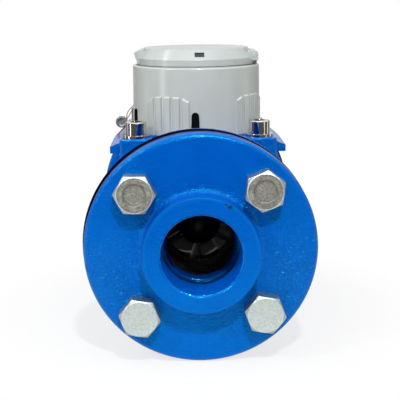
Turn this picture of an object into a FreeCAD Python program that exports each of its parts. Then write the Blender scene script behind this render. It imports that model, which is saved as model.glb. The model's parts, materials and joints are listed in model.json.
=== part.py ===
import FreeCAD, Part
import math
import os

os.makedirs("parts", exist_ok=True)
Vec = FreeCAD.Vector

# Woltman water meter for a two-inch pipe, in millimetres.
# The flow runs along +Y, +Z is up, and the origin lies on the flow axis where the inlet thread starts.

# Companion flanges
thread_r = 28.33
mouth_chamfer = 1.67
hub_r = 41.0
hub_length = 16.0
hub_fillet = 4.5
hub_edge = 0.5
flange_r = 82.5
flange_t = 13.0
flange_edge = 3.5

# Flange joint: bolts, nuts and gasket
bolt_circle_r = 62.5
bolt_turn = 0.8
bolt_hole_r = 9.5
bolt_r = 8.0
bolt_shifts = ((0.5, -1.2), (-0.45, -1.2), (-0.1, -0.7), (-0.4, -0.75))
bolt_head_flats = 25.8
bolt_head_h = 12.0
bolt_end = 4.0
bolt_tip = 1.2
hex_crown_share = 0.475
hex_chamfer = 30.0
hex_play = 0.1
nut_h = 14.8
nut_turn = 20.0
gasket_t = 4.0
gasket_overhang = 0.4
gasket_bore_r = 30.5
gasket_shift = -0.5
inlet_head_turns = (22.2, -1.3, -9.6, -9.5)
outlet_head_turns = (8.0, 17.0, -11.0, 3.0)
dished_heads = (True, True, False, False)
dish_r = 8.2
dish_depth = 0.5
dish_slope = 1.0

# Body casting
body_length = 200.0
body_flange_t = 13.0
bore_r = 24.5
bore_round = 5.0
bore_land = 1.5
barrel_r = 38.5
barrel_fillet = 7.0
cast_fillet = 8.0
pot_inset = 0.3
pot_wall = 7.0
pot_floor = 9.0
pot_round = 20.0
cavity_round = 4.0
cavity_floor_gap = 4.0
parting_z = 51.6
head_edge = 4.8
head_corner = 5.0
head_t = 13.0
column_half = 12.4
column_drop = 34.0
column_taper = 15.0
column_edge = 3.0
arrow_length = 34.0
arrow_half = 9.0
arrow_stem = 3.5
arrow_raise = 1.2

# Cover
cover_t = 16.0
pad_h = 2.5
pad_edge = 1.5
seat_h = 3.0
seat_edge = 3.5
ear_out = 8.1
ear_front = 44.0
ear_straight = 42.0
ear_back = 51.0
ear_bulge_out = 6.4
ear_tail_out = 1.7
ear_root_top = 14.5
ear_tip_top = 11.0
ear_bottom = 6.0
ring_land = 3.1
ring_section = 1.4
groove_play = 0.2

# Cover screws and washers
screw_r = 5.0
screw_hole_r = 5.5
screw_head_r = 8.0
screw_head_h = 10.0
screw_socket_flats = 8.0
screw_socket_depth = 5.0
screw_grip = 24.0
screw_edge = 0.64
screw_hole_spare = 1.0
washer_r = 10.5
washer_bore_r = 5.25
washer_t = 2.0

# Measuring insert
liner_r = 32.0
tube_bore_r = 30.0
tube_wall = 2.5
insert_play = 0.6
flange_plate_r = 30.0
flange_plate_t = 5.5
neck_r = 14.0
hub_body_r = 20.0
hub_back = 18.0
hub_wall = 3.3
hub_front_wall = 2.2
hub_eye_r = 3.0
bush_floor = 1.0
strut_r = 5.5
rear_vane_t = 2.0
rear_vane_count = 4
tail_length = 26.0
tail_tip_r = 6.0
tail_plug = 4.0
tail_boss_r = 5.0
tail_boss = 8.0
insert_screw_r = 2.0
insert_screw_circle = 24.0
insert_screw_head_r = 3.5
insert_screw_head_h = 2.6
insert_screw_length = 14.0
insert_screw_dome = 0.7
insert_screw_play = 0.2

# Straightener and rotor
dome_r = 17.0
dome_land = 0.4
dome_wall = 4.0
dome_hollow = 8.0
vane_t = 1.6
vane_count = 6
vane_length = 10.0
vane_inset = 0.6
vane_ring_t = 2.65
vane_ring_length = 12.0
rotor_front = 29.8
rotor_back = 10.4
rotor_gap = 0.6
rotor_recess_r = 16.0
rotor_recess = 12.0
rotor_boss_r = 5.0
blade_count = 8
blade_tip_r = 29.3
blade_root_t = 2.8
blade_tip_t = 2.0
blade_lead = 157.0
blade_first = -9.0
blade_inset = 0.6
blade_bury = 1.0
blade_stations = 6
shaft_r = 1.0
shaft_front = 37.0
shaft_room = 0.5
bush_r = 2.6
bush_length = 5.0

# Worm drive
worm_pitch_r = 2.6
worm_root_r = 1.8
worm_tip_r = 3.3
worm_turns = 3
worm_crest = 0.7
worm_foot = 1.5
worm_end = 0.8
worm_bury = 0.2
wheel_teeth = 16
wheel_pitch_r = 6.4
wheel_tip_r = 7.0
wheel_root_r = 5.4
wheel_width = 3.0
tooth_tip_share = 0.133
tooth_foot_share = 0.307
well_r = 14.0
well_bore_r = 10.5
well_wall = 2.5
magnet_r = 9.5
magnet_h = 6.0
magnet_gap = 1.0

# Register cup and what it holds
cup_r = 45.0
cup_wall = 1.2
cup_h = 42.0
clamp_wall = 2.2
clamp_h = 28.0
movement_gap = 0.4
movement_top = 35.5
movement_skirt_h = 9.0
movement_skirt_t = 3.0
follower_r = 9.0
follower_h = 5.0
follower_lift = 2.5
arbor_r = 1.0
dial_t = 1.2
hand_gap = 0.8
hand_t = 0.6
hand_tip = 7.0
hand_tail = 3.0
hand_half = 1.0
hand_tail_half = 0.6
hand_hub_r = 1.6
hand_arbor_r = 0.75
hand_arbor_length = 6.0
arbor_end_gap = 0.4
hand_circle = 25.0
hand_angles = (60.0, 0.0, -60.0)
star_r = 5.5
star_waist_r = 2.6
star_points = 6
drum_count = 6
drum_r = 6.0
drum_width = 5.0
drum_pitch = 5.3
drum_offset = 11.0
drum_axle_r = 1.0
drum_gap = 0.2
drum_end_gap = 0.5
axle_grip = 2.0
drum_pocket_half = 7.0
dial_window_half = 4.2
dial_hole_gap = 0.4
glass_t = 3.0
glass_gasket_t = 0.8
glass_gasket_width = 2.5

# Register can
can_play = 0.7
can_taper = 0.5
can_h = 51.0
can_wall = 2.6
can_rim_round = 1.4
can_lip_width = 3.5
can_lip_t = 2.7
can_rim_wall = 3.0
rib_group_angles = (-27.0, 56.0, 153.0, 236.0)
rib_step = 8.4
rib_width = 5.0
rib_raise = 0.9
rib_top = 30.45
arch_fall = 3.4
arch_half = 19.64
arch_power = 3.9
rib_slope = 1.8
slot_angles = (-2.0, 110.0, 178.0, 290.0)
slot_foot_half = 3.4
slot_top_half = 2.8
slot_h = 18.0
lug_gap = 0.3
lug_sink = 0.4

# Lid and hinge
lid_step = 3.5
lid_gap = 0.9
lid_skirt = 4.6
lid_bevel = 5.5
lid_slope = 7.6
lid_crown = 1.0
lid_wall = 2.0
lid_edge_drop = 0.8
tongue_play = 1.0
tongue_wall = 1.8
tongue_gap = 0.5
window_half = 3.6
window_low = 6.9
window_high = 10.1
window_turn = 2.6
lip_half = 13.0
lip_overhang = 2.2
lip_corner = 4.0
lip_root_inset = 4.5
lip_head_inset = 6.5
lip_foot_inset = 0.9
lip_under = 2.5
lip_top = 3.8
lip_sink = 0.1
hinge_inset = 1.5
hinge_lift = 7.5
hinge_pin_r = 1.4
hinge_half = 5.0
hinge_play = 0.3
knuckle_length = 13.0
knuckle_overhang = 3.1
knuckle_low = 4.2
knuckle_high = 3.0
knuckle_round = 2.4
knuckle_inset = 3.0
knuckle_lean = 2.0
notch_play = 1.0
bracket_r = 3.1
bracket_inset = 1.0

# Seal wire and lead seal; places are from the middle of the meter
wire_r = 0.7
wire_route = ((-49.0, 0.0, 90.0), (-52.6, 0.3, 86.0), (-56.2, 2.4, 78.6),
              (-57.4, 3.4, 71.2), (-62.3, 4.8, 67.4), (-64.6, 5.5, 62.5))
bend_share = 0.45
seal_centre = (-60.3, 2.9, 75.8)
seal_r = 4.6
seal_t = 4.5
seal_rim = 0.54

# Clearances
thread_gap = 0.05
run_gap = 0.05
fit_gap = 0.05

# Places that follow from the sizes above
mouth_y = -mouth_chamfer
flange_face_y = mouth_y + hub_length
flange_back_y = flange_face_y + flange_t
body_front_y = flange_back_y + gasket_t
body_back_y = body_front_y + body_length
centre_y = body_front_y + body_length / 2
liner_front_y = body_front_y + bore_round + bore_land
gasket_r = flange_r + gasket_overhang
tube_r = tube_bore_r + tube_wall
cavity_depth = tube_r + cavity_floor_gap
drive_x = worm_pitch_r + wheel_pitch_r
hub_front = rotor_back - rotor_gap
ring_end_y = centre_y - rotor_front - rotor_gap
cover_top = parting_z + cover_t
pad_top = cover_top + pad_h
seat_top = cover_top + seat_h
can_rim_z = seat_top + can_h
clamp_r = cup_r + clamp_wall
can_foot_r = clamp_r + can_play + can_wall
can_rim_r = can_foot_r - can_taper
can_rim_bore_r = can_rim_r - can_rim_wall
can_lip_r = cup_r - can_lip_width
seat_r = can_foot_r + seat_edge
lid_r = can_rim_r - lid_step
lid_flat_r = lid_r - lid_bevel
tongue_r = can_rim_bore_r - tongue_play
lip_reach = lid_r + lip_overhang
lip_root_r = lid_r - lip_root_inset
lip_head_r = lid_r - lip_head_inset
lip_foot_r = lid_r - lip_foot_inset
hinge_x = lid_r - hinge_inset
knuckle_reach = hinge_x + knuckle_overhang
knuckle_root = lid_flat_r - knuckle_inset
bracket_root = hinge_x - bracket_inset
head_half = seat_r + head_edge
pot_r = head_half - pot_inset
cavity_r = pot_r - pot_wall
ring_r = cavity_r + ring_land
screw_offset = head_half - column_half
ear_reach = head_half + ear_out
ear_bulge = head_half + ear_bulge_out
ear_tail = head_half + ear_tail_out
cup_floor_z = cover_top + cup_wall
cup_rim_z = cover_top + cup_h
dial_z = cover_top + movement_top
hand_z = dial_z + dial_t + hand_gap
glass_z = cup_rim_z + glass_gasket_t
lip_z = glass_z + glass_t
lid_z = can_rim_z + lid_gap
lid_edge_z = lid_z + lid_skirt
lid_flat_z = lid_edge_z + lid_slope
hinge_z = can_rim_z + hinge_lift
Z_AXIS = Vec(0, 0, 1)
Y_AXIS = Vec(0, 1, 0)
CENTRE = Vec(0, centre_y, 0)


def outward(shape):
    # A revolved face can come out inside out, with a negative volume.
    return shape.reversed() if shape.Volume < 0 else shape


def x_cylinder(radius, x0, x1, y=0.0, z=0.0):
    return Part.makeCylinder(radius, x1 - x0, Vec(x0, y, z), Vec(1, 0, 0))


def y_cylinder(radius, y0, y1, x=0.0, z=0.0):
    return Part.makeCylinder(radius, y1 - y0, Vec(x, y0, z), Y_AXIS)


def z_cylinder(radius, z0, z1, x=0.0, y=0.0):
    return Part.makeCylinder(radius, z1 - z0, Vec(x, y, z0), Z_AXIS)


def box(x0, x1, y0, y1, z0, z1):
    return Part.makeBox(x1 - x0, y1 - y0, z1 - z0, Vec(x0, y0, z0))


def arc_step(centre_u, centre_v, radius, start, end):
    # An arc of an outline: its middle point and its end point.
    middle = math.radians((start + end) / 2)
    last = math.radians(end)
    return (centre_u + radius * math.cos(middle), centre_v + radius * math.sin(middle),
            centre_u + radius * math.cos(last), centre_v + radius * math.sin(last))


def outline(start, steps, place):
    # A closed face from straight steps (two numbers) and arc steps (four numbers).
    edges = []
    here = start
    for step in list(steps) + [start]:
        end = tuple(step[-2:])
        first = place(*here)
        last = place(*end)
        if (last - first).Length > 1e-6:
            if len(step) == 2:
                edges.append(Part.makeLine(first, last))
            else:
                edges.append(Part.Arc(first, place(*step[:2]), last).toShape())
        here = end
    return Part.Face(Part.Wire(edges))


def lathe_y(start, steps):
    # Turned about the flow axis; points are (radius, y).
    face = outline(start, steps, lambda r, y: Vec(r, y, 0))
    return outward(face.revolve(Vec(0, 0, 0), Y_AXIS, 360))


def lathe_z(start, steps, x=0.0):
    # Turned about an upright axis in the middle of the meter; points are (radius, z).
    face = outline(start, steps, lambda r, z: Vec(x + r, centre_y, z))
    return outward(face.revolve(Vec(x, centre_y, 0), Z_AXIS, 360))


def upright_block(x0, x1, y0, y1, z0, z1, radius):
    # A box with its four upright edges rounded.
    block = box(x0, x1, y0, y1, z0, z1)
    edges = [e for e in block.Edges if abs(e.Vertexes[0].Z - e.Vertexes[1].Z) > 1e-6]
    return block.makeFillet(radius, edges)


def edges_at(shape, z):
    return [e for e in shape.Edges if abs(e.BoundBox.ZMin - z) < 1e-6 and abs(e.BoundBox.ZMax - z) < 1e-6]


def about_register(shape, angle):
    # Angles around the register run from the inlet side towards +X.
    turned = shape.copy()
    turned.rotate(CENTRE, Z_AXIS, angle)
    return turned


def at_outlet(shape):
    return about_register(shape, 180)


def save(name, shape):
    shape.exportStep("parts/" + name + ".step")


# Flange joint

def bolt_spots():
    spots = []
    for k in range(4):
        angle = math.radians(45 + 90 * k + bolt_turn)
        spots.append((bolt_circle_r * math.cos(angle), bolt_circle_r * math.sin(angle)))
    return spots


def bolt_places():
    # Each bolt hangs to one side of its hole.
    return [(x + dx, z + dz) for (x, z), (dx, dz) in zip(bolt_spots(), bolt_shifts)]


def bolt_holes(y0, y1):
    return [y_cylinder(bolt_hole_r, y0, y1, x, z) for x, z in bolt_spots()]


def companion_flange():
    mouth_r = thread_r + mouth_chamfer
    shape = lathe_y((mouth_r, mouth_y), [
        (hub_r - hub_edge, mouth_y),
        arc_step(hub_r - hub_edge, mouth_y + hub_edge, hub_edge, -90, 0),
        (hub_r, flange_face_y - hub_fillet),
        arc_step(hub_r + hub_fillet, flange_face_y - hub_fillet, hub_fillet, 180, 90),
        (flange_r - flange_edge, flange_face_y),
        arc_step(flange_r - flange_edge, flange_face_y + flange_edge, flange_edge, -90, 0),
        (flange_r, flange_back_y),
        (thread_r, flange_back_y),
        (thread_r, 0.0)])
    return shape.cut(bolt_holes(flange_face_y, flange_back_y))


def flange_gasket():
    ring = y_cylinder(gasket_r, flange_back_y, body_front_y)
    bore = y_cylinder(gasket_bore_r, flange_back_y, body_front_y)
    shape = ring.cut(bore).translated(Vec(gasket_shift, 0, 0))
    return shape.cut(bolt_holes(flange_back_y, body_front_y))


def hexagon(flats, y0, height, turn):
    corner = flats / math.sqrt(3)
    points = []
    for k in range(7):
        angle = math.radians(60 * k + turn)
        points.append(Vec(corner * math.cos(angle), y0, corner * math.sin(angle)))
    return Part.Face(Part.makePolygon(points)).extrude(Vec(0, height, 0))


def chamfered_hexagon(flats, y0, height, turn, both_ends):
    corner = flats / math.sqrt(3) + hex_play
    crown = flats * hex_crown_share
    fall = (corner - crown) * math.tan(math.radians(hex_chamfer))
    steps = [(crown, y0), (corner, y0 + fall)]
    if both_ends:
        steps += [(corner, y0 + height - fall), (crown, y0 + height)]
    else:
        steps += [(corner, y0 + height)]
    steps += [(0.0, y0 + height)]
    return hexagon(flats, y0, height, turn).common(lathe_y((0.0, y0), steps))


def flange_bolts(head_turns):
    head_y = flange_face_y - bolt_head_h
    end_y = body_front_y + body_flange_t + nut_h + bolt_end
    shank = lathe_y((0.0, flange_face_y), [
        (bolt_r, flange_face_y), (bolt_r, end_y - bolt_tip), (bolt_r - bolt_tip, end_y), (0.0, end_y)])
    dish = lathe_y((0.0, head_y), [
        (dish_r, head_y), (dish_r - dish_slope, head_y + dish_depth), (0.0, head_y + dish_depth)])
    bolts = []
    for (x, z), turn, dished in zip(bolt_places(), head_turns, dished_heads):
        head = chamfered_hexagon(bolt_head_flats, head_y, bolt_head_h, turn, False)
        if dished:
            head = head.cut(dish)
        bolts.append(head.fuse(shank).translated(Vec(x, 0, z)))
    return Part.makeCompound(bolts)


def flange_nuts(head_turns):
    nut_y = body_front_y + body_flange_t
    hole = y_cylinder(bolt_r + thread_gap, nut_y, nut_y + nut_h)
    nuts = []
    for (x, z), turn in zip(bolt_places(), head_turns):
        nut = chamfered_hexagon(bolt_head_flats, nut_y, nut_h, turn + nut_turn, True).cut(hole)
        nuts.append(nut.translated(Vec(x, 0, z)))
    return Part.makeCompound(nuts)


# Body and cover

def screw_spots():
    signs = ((-1, -1), (1, -1), (1, 1), (-1, 1))
    return [(sx * screw_offset, centre_y + sy * screw_offset) for sx, sy in signs]


def body_outside():
    front = body_front_y + body_flange_t
    back = body_back_y - body_flange_t
    rim = flange_r - flange_edge
    neck = barrel_r + barrel_fillet
    return lathe_y((0.0, body_front_y), [
        (flange_r, body_front_y),
        (flange_r, front - flange_edge),
        arc_step(rim, front - flange_edge, flange_edge, 0, 90),
        (neck, front),
        arc_step(neck, front + barrel_fillet, barrel_fillet, 270, 180),
        (barrel_r, back - barrel_fillet),
        arc_step(neck, back - barrel_fillet, barrel_fillet, 180, 90),
        (rim, back),
        arc_step(rim, back + flange_edge, flange_edge, -90, 0),
        (flange_r, body_back_y),
        (0.0, body_back_y)])


def rounded_pot(radius, z0, z1, bottom_round):
    return lathe_z((0.0, z0), [
        (radius - bottom_round, z0),
        arc_step(radius - bottom_round, z0 + bottom_round, bottom_round, -90, 0),
        (radius, z1),
        (0.0, z1)])


def head_block(z0, z1):
    half = head_half
    return upright_block(-half, half, centre_y - half, centre_y + half, z0, z1, head_corner)


def column(x, y, z0, z1):
    half = column_half
    return upright_block(x - half, x + half, y - half, y + half, z0, z1, column_edge)


def tapered_column(x, y):
    # A column under a screw, whose outer sides slope back into the pot at the foot.
    foot = parting_z - column_drop
    shape = column(x, y, foot, parting_z)
    span = 2 * head_half
    for side, place in ((x, lambda u, z: Vec(u, centre_y - span, z)),
                        (y - centre_y, lambda u, z: Vec(-span, centre_y + u, z))):
        out = math.copysign(1, side)
        reach = abs(side) + column_half
        face = outline((0.0, foot), [
            (out * (reach - column_taper), foot), (out * reach, foot + column_taper),
            (out * reach, parting_z), (0.0, parting_z)], place)
        along = Vec(0, 2 * span, 0) if side is x else Vec(2 * span, 0, 0)
        shape = shape.common(outward(face.extrude(along)))
    return shape


def flow_arrow(side):
    # A cast arrow that stands out of the pot's flank and points downstream.
    tip = arrow_length / 2
    root = arrow_half
    face = outline((-tip, -arrow_stem), [
        (tip - root, -arrow_stem), (tip - root, -arrow_half), (tip, 0.0), (tip - root, arrow_half),
        (tip - root, arrow_stem), (-tip, arrow_stem)],
        lambda y, z: Vec(side * (pot_r - pot_wall / 2), centre_y + y, z))
    return outward(face.extrude(Vec(side * (pot_wall / 2 + arrow_raise), 0, 0)))


def meter_body():
    barrel = body_outside()
    pot = rounded_pot(pot_r, -cavity_depth - pot_floor, parting_z, pot_round)
    trunk = barrel.fuse(pot).removeSplitter()
    crossings = [e for e in trunk.Edges if e.Curve.TypeId == "Part::GeomBSplineCurve"]
    trunk = trunk.makeFillet(cast_fillet, crossings)
    added = [head_block(parting_z - head_t, parting_z), flow_arrow(1), flow_arrow(-1)]
    added += [tapered_column(x, y) for x, y in screw_spots()]
    cavity = rounded_pot(cavity_r, -cavity_depth, parting_z, cavity_round)
    lip_r = bore_r + bore_round
    inlet = lathe_y((0.0, body_front_y), [
        (lip_r, body_front_y), arc_step(lip_r, body_front_y + bore_round, bore_round, 270, 180),
        (bore_r, liner_front_y), (liner_r + fit_gap, liner_front_y),
        (liner_r + fit_gap, centre_y), (0.0, centre_y)])
    outlet = lathe_y((0.0, centre_y), [
        (tube_bore_r, centre_y), (tube_bore_r, centre_y + cavity_r), (bore_r, body_back_y - bore_round),
        arc_step(lip_r, body_back_y - bore_round, bore_round, 180, 90), (0.0, body_back_y)])
    holes = bolt_holes(body_front_y, body_front_y + body_flange_t)
    holes += [at_outlet(hole) for hole in holes]
    holes += [z_cylinder(screw_r + thread_gap, parting_z - screw_grip, parting_z, x, y)
              for x, y in screw_spots()]
    return trunk.fuse(added).cut([cavity, inlet, outlet] + holes).removeSplitter()


def cover_ear(side):
    # The ear tapers to its tip and draws in towards the outlet.
    root = head_half - column_edge
    plan = outline((root, -ear_front), [
        (ear_reach, -ear_front), (ear_reach, ear_straight - ear_front),
        (ear_bulge, (ear_straight - ear_front + ear_back) / 2, ear_tail, ear_back), (root, ear_back)],
        lambda x, y: Vec(side * x, centre_y + y, parting_z))
    section = outline((root, ear_bottom), [
        (ear_reach, ear_bottom), (ear_reach, ear_tip_top), (head_half, ear_root_top), (root, ear_root_top)],
        lambda x, z: Vec(side * x, centre_y - ear_front, parting_z + z))
    body = outward(plan.extrude(Vec(0, 0, cover_t)))
    return body.common(outward(section.extrude(Vec(0, ear_front + ear_back, 0))))


def screw_pad(x, y):
    pad = column(x, y, parting_z, pad_top)
    return pad.makeFillet(pad_edge, edges_at(pad, pad_top))


def top_cover():
    seat = z_cylinder(seat_r, cover_top, seat_top, 0, centre_y)
    floor = z_cylinder(clamp_r + fit_gap, cover_top, seat_top, 0, centre_y)
    groove_half = ring_section + groove_play
    groove = z_cylinder(ring_r + groove_half, parting_z, parting_z + 2 * groove_half, 0, centre_y)
    core = z_cylinder(ring_r - groove_half, parting_z, parting_z + 2 * groove_half, 0, centre_y)
    well = z_cylinder(well_r, parting_z, cover_top, drive_x, centre_y)
    screws = [z_cylinder(screw_hole_r, parting_z, pad_top, x, y) for x, y in screw_spots()]
    small = [z_cylinder(insert_screw_r + thread_gap, parting_z, parting_z + insert_screw_length, x, y)
             for x, y in insert_screw_spots()]
    pads = [screw_pad(x, y) for x, y in screw_spots()]
    shape = head_block(parting_z, cover_top).fuse(pads + [seat, cover_ear(1), cover_ear(-1)])
    spot_faces = [z_cylinder(washer_r + fit_gap, pad_top, seat_top, x, y) for x, y in screw_spots()]
    cuts = [floor, groove.cut(core), well, wire_tube(wire_r + fit_gap)] + screws + small + spot_faces
    return shape.cut(cuts).removeSplitter()


def cover_ring():
    return Part.makeTorus(ring_r, ring_section, Vec(0, centre_y, parting_z + ring_section), Z_AXIS)


def cover_washers():
    rings = []
    for x, y in screw_spots():
        ring = z_cylinder(washer_r, pad_top, pad_top + washer_t, x, y)
        rings.append(ring.cut(z_cylinder(washer_bore_r, pad_top, pad_top + washer_t, x, y)))
    return Part.makeCompound(rings)


def cover_screws():
    base = pad_top + washer_t
    top = base + screw_head_h
    end = parting_z - screw_grip + screw_hole_spare
    screw = lathe_z((0.0, end), [
        (screw_r, end), (screw_r, base), (screw_head_r, base), (screw_head_r, top - screw_edge),
        (screw_head_r - screw_edge, top), (0.0, top)])
    socket = hexagon(screw_socket_flats, 0.0, screw_socket_depth, 0)
    socket.rotate(Vec(0, 0, 0), Vec(1, 0, 0), 90)
    screw = screw.cut(socket.translated(Vec(0, centre_y, top - screw_socket_depth)))
    return Part.makeCompound([screw.translated(Vec(x, y - centre_y, 0)) for x, y in screw_spots()])


# Measuring insert

def inlet_liner():
    # A sleeve that widens from the body's bore to the measuring tube; its end follows the pot's wall.
    sleeve = lathe_y((bore_r, liner_front_y), [
        (liner_r, liner_front_y), (liner_r, centre_y),
        (tube_bore_r, centre_y), (tube_bore_r, centre_y - cavity_r)])
    return sleeve.cut(z_cylinder(cavity_r, -2 * liner_r, 2 * liner_r, 0, centre_y))


def radial_plates(count, thickness, inner, outer, y0, y1, first):
    plates = []
    for k in range(count):
        plate = box(inner, outer, y0, y1, -thickness / 2, thickness / 2)
        plate.rotate(Vec(0, 0, 0), Y_AXIS, first + 360 * k / count)
        plates.append(plate)
    return plates


def insert_screw_spots():
    spots = []
    for k in range(4):
        angle = math.radians(45 + 90 * k)
        reach = insert_screw_circle
        spots.append((reach * math.cos(angle), centre_y + reach * math.sin(angle)))
    return spots


def insert_housing():
    sweep = z_cylinder(cavity_r - insert_play, -2 * tube_r, 2 * tube_r, 0, centre_y)
    tube = y_cylinder(tube_r, centre_y - cavity_r, centre_y + cavity_r).common(sweep)
    neck = z_cylinder(neck_r, 0, parting_z, drive_x, centre_y)
    plate = z_cylinder(flange_plate_r, parting_z - flange_plate_t, parting_z, 0, centre_y)
    shell = tube.fuse([neck, plate]).cut(y_cylinder(tube_bore_r, centre_y - cavity_r, centre_y + cavity_r))
    hub = y_cylinder(hub_body_r, centre_y - hub_front, centre_y + hub_back)
    strut = z_cylinder(strut_r, 0, tube_bore_r + tube_wall / 2, drive_x, centre_y)
    vanes = radial_plates(
        rear_vane_count, rear_vane_t, hub_body_r - hub_wall / 2, tube_bore_r + tube_wall / 2,
        centre_y - hub_front / 2, centre_y + hub_back, 45)
    room = y_cylinder(hub_body_r - hub_wall, centre_y - hub_front + hub_front_wall, centre_y + hub_back)
    cuts = [room, y_cylinder(hub_eye_r, centre_y - hub_front, centre_y)]
    cuts.append(z_cylinder(bush_r + run_gap, 0, parting_z - bush_length, drive_x, centre_y))
    cuts.append(z_cylinder(bush_r, parting_z - bush_length, parting_z, drive_x, centre_y))
    cuts.append(z_cylinder(bush_r, lower_bush_z(), 0, drive_x, centre_y))
    cuts += [z_cylinder(insert_screw_r + insert_screw_play, parting_z - flange_plate_t, parting_z, x, y)
             for x, y in insert_screw_spots()]
    return shell.fuse([hub, strut] + vanes).cut(cuts).removeSplitter()


def lower_bush_z():
    # The lower bush stands in the hub's floor, below the worm wheel.
    return -math.sqrt(hub_body_r ** 2 - drive_x ** 2) + bush_floor


def insert_screws():
    base = parting_z - flange_plate_t
    head = base - insert_screw_head_h
    top = parting_z + insert_screw_length - screw_hole_spare
    screw = lathe_z((0.0, head), [
        (insert_screw_head_r - insert_screw_dome, head), (insert_screw_head_r, head + insert_screw_dome),
        (insert_screw_head_r, base), (insert_screw_r, base), (insert_screw_r, top), (0.0, top)])
    return Part.makeCompound([screw.translated(Vec(x, y - centre_y, 0)) for x, y in insert_screw_spots()])


def tail_cap():
    plug_r = hub_body_r - hub_wall - fit_gap
    end = centre_y + hub_back
    boss = end - tail_plug - tail_boss
    tip = end + tail_length - tail_tip_r
    reach = math.hypot(tip - end, hub_body_r)
    lean = math.degrees(math.asin(tail_tip_r / reach) + math.atan2(tip - end, hub_body_r)) - 90
    meet = 90 + lean
    touch = math.radians(meet)
    shape = lathe_y((0.0, boss), [
        (tail_boss_r, boss), (tail_boss_r, end - tail_plug), (plug_r, end - tail_plug), (plug_r, end),
        (hub_body_r, end), (tail_tip_r * math.cos(touch), tip + tail_tip_r * math.sin(touch)),
        arc_step(0.0, tip, tail_tip_r, meet, 90)])
    return shape.cut(y_cylinder(bush_r, boss, boss + bush_length))


def straightener():
    ring_end = ring_end_y
    base = ring_end - dome_land
    ring_start = ring_end - vane_ring_length
    ring_r_out = tube_bore_r - fit_gap
    dome = lathe_y((0.0, base - dome_r), [
        arc_step(0.0, base, dome_r, -90, 0), (dome_r, ring_end), (0.0, ring_end)])
    ring = y_cylinder(ring_r_out, ring_start, ring_end)
    ring = ring.cut(y_cylinder(ring_r_out - vane_ring_t, ring_start, ring_end))
    vanes = radial_plates(vane_count, vane_t, dome_r / 2, ring_r_out - vane_ring_t / 2,
                          base - vane_length, base - vane_inset, 90)
    hollow = y_cylinder(dome_r - dome_wall, base - dome_hollow, ring_end)
    hollow = hollow.cut(y_cylinder(tail_boss_r, base - dome_hollow, ring_end))
    bush = y_cylinder(bush_r, ring_end - bush_length, ring_end)
    room = y_cylinder(shaft_r + shaft_room, centre_y - shaft_front - shaft_room, ring_end)
    return dome.fuse([ring] + vanes).cut([hollow, bush, room]).removeSplitter()


def blade(turn):
    # A helical blade lofted through strips that turn with the lead.
    front = centre_y - rotor_front + blade_inset
    length = rotor_front - rotor_back - 2 * blade_inset
    wires = []
    for k in range(blade_stations + 1):
        y = front + length * k / blade_stations
        angle = math.radians(turn + 360 * (y - front) / blade_lead)
        out = Vec(math.cos(angle), 0, math.sin(angle))
        side = Vec(-math.sin(angle), 0, math.cos(angle))
        root = dome_r - blade_bury
        points = [out * root + side * (blade_root_t / 2), out * blade_tip_r + side * (blade_tip_t / 2),
                  out * blade_tip_r - side * (blade_tip_t / 2), out * root - side * (blade_root_t / 2)]
        points = [Vec(p.x, y, p.z) for p in points]
        wires.append(Part.makePolygon(points + [points[0]]))
    return outward(Part.makeLoft(wires, True))


def turbine_rotor():
    front = centre_y - rotor_front
    back = centre_y - rotor_back
    hub = lathe_y((0.0, front), [(dome_r, front), (hub_body_r, back), (0.0, back)])
    hub = hub.fuse([blade(blade_first + 360 * k / blade_count) for k in range(blade_count)])
    recess = y_cylinder(rotor_recess_r, back - rotor_recess, back)
    recess = recess.cut(y_cylinder(rotor_boss_r, back - rotor_recess, back))
    return hub.cut([recess, y_cylinder(shaft_r, front, back)]).removeSplitter()


def rotor_shaft():
    boss = centre_y + hub_back - tail_plug - tail_boss
    return y_cylinder(shaft_r, centre_y - shaft_front, boss + bush_length)


def bush_along_y(y0):
    return y_cylinder(bush_r, y0, y0 + bush_length).cut(y_cylinder(shaft_r + run_gap, y0, y0 + bush_length))


def bush_along_z(z0, length):
    sleeve = z_cylinder(bush_r, z0, z0 + length, drive_x, centre_y)
    return sleeve.cut(z_cylinder(shaft_r + run_gap, z0, z0 + length, drive_x, centre_y))


def worm_lead():
    return 2 * math.pi * wheel_pitch_r / wheel_teeth


def worm():
    lead = worm_lead()
    length = worm_turns * lead
    helix = Part.Wire(Part.makeHelix(lead, length, worm_pitch_r))
    foot_r = worm_root_r - worm_bury
    section = [Vec(foot_r, 0, -worm_foot / 2), Vec(worm_tip_r, 0, -worm_crest / 2),
               Vec(worm_tip_r, 0, worm_crest / 2), Vec(foot_r, 0, worm_foot / 2)]
    thread = outward(helix.makePipeShell([Part.makePolygon(section + [section[0]])], True, True))
    core = z_cylinder(worm_root_r, -worm_end, length + worm_end)
    shape = core.fuse(thread).cut(z_cylinder(shaft_r, -worm_end, length + worm_end))
    shape.rotate(Vec(0, 0, 0), Vec(1, 0, 0), -90)
    return shape.translated(Vec(0, centre_y - length / 2, 0))


def wheel_outline(z, turn):
    # Straight-sided teeth; shares are of one tooth's angle.
    pitch = 360 / wheel_teeth
    points = []
    for k in range(wheel_teeth):
        middle = k * pitch + turn
        for share, radius in ((-tooth_foot_share, wheel_root_r), (-tooth_tip_share, wheel_tip_r),
                              (tooth_tip_share, wheel_tip_r), (tooth_foot_share, wheel_root_r)):
            angle = math.radians(middle + share * pitch)
            points.append(Vec(radius * math.cos(angle), radius * math.sin(angle), z))
    return Part.makePolygon(points + [points[0]])


def worm_wheel():
    # The teeth lean with the worm's lead.
    lean = math.degrees(worm_lead() / (2 * math.pi * worm_pitch_r) * wheel_width / 2 / wheel_pitch_r)
    wires = [wheel_outline(-wheel_width / 2, -lean), wheel_outline(wheel_width / 2, lean)]
    shape = outward(Part.makeLoft(wires, True, True))
    shape = shape.cut(z_cylinder(shaft_r, -wheel_width, wheel_width))
    return shape.translated(Vec(drive_x, centre_y, 0))


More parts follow.
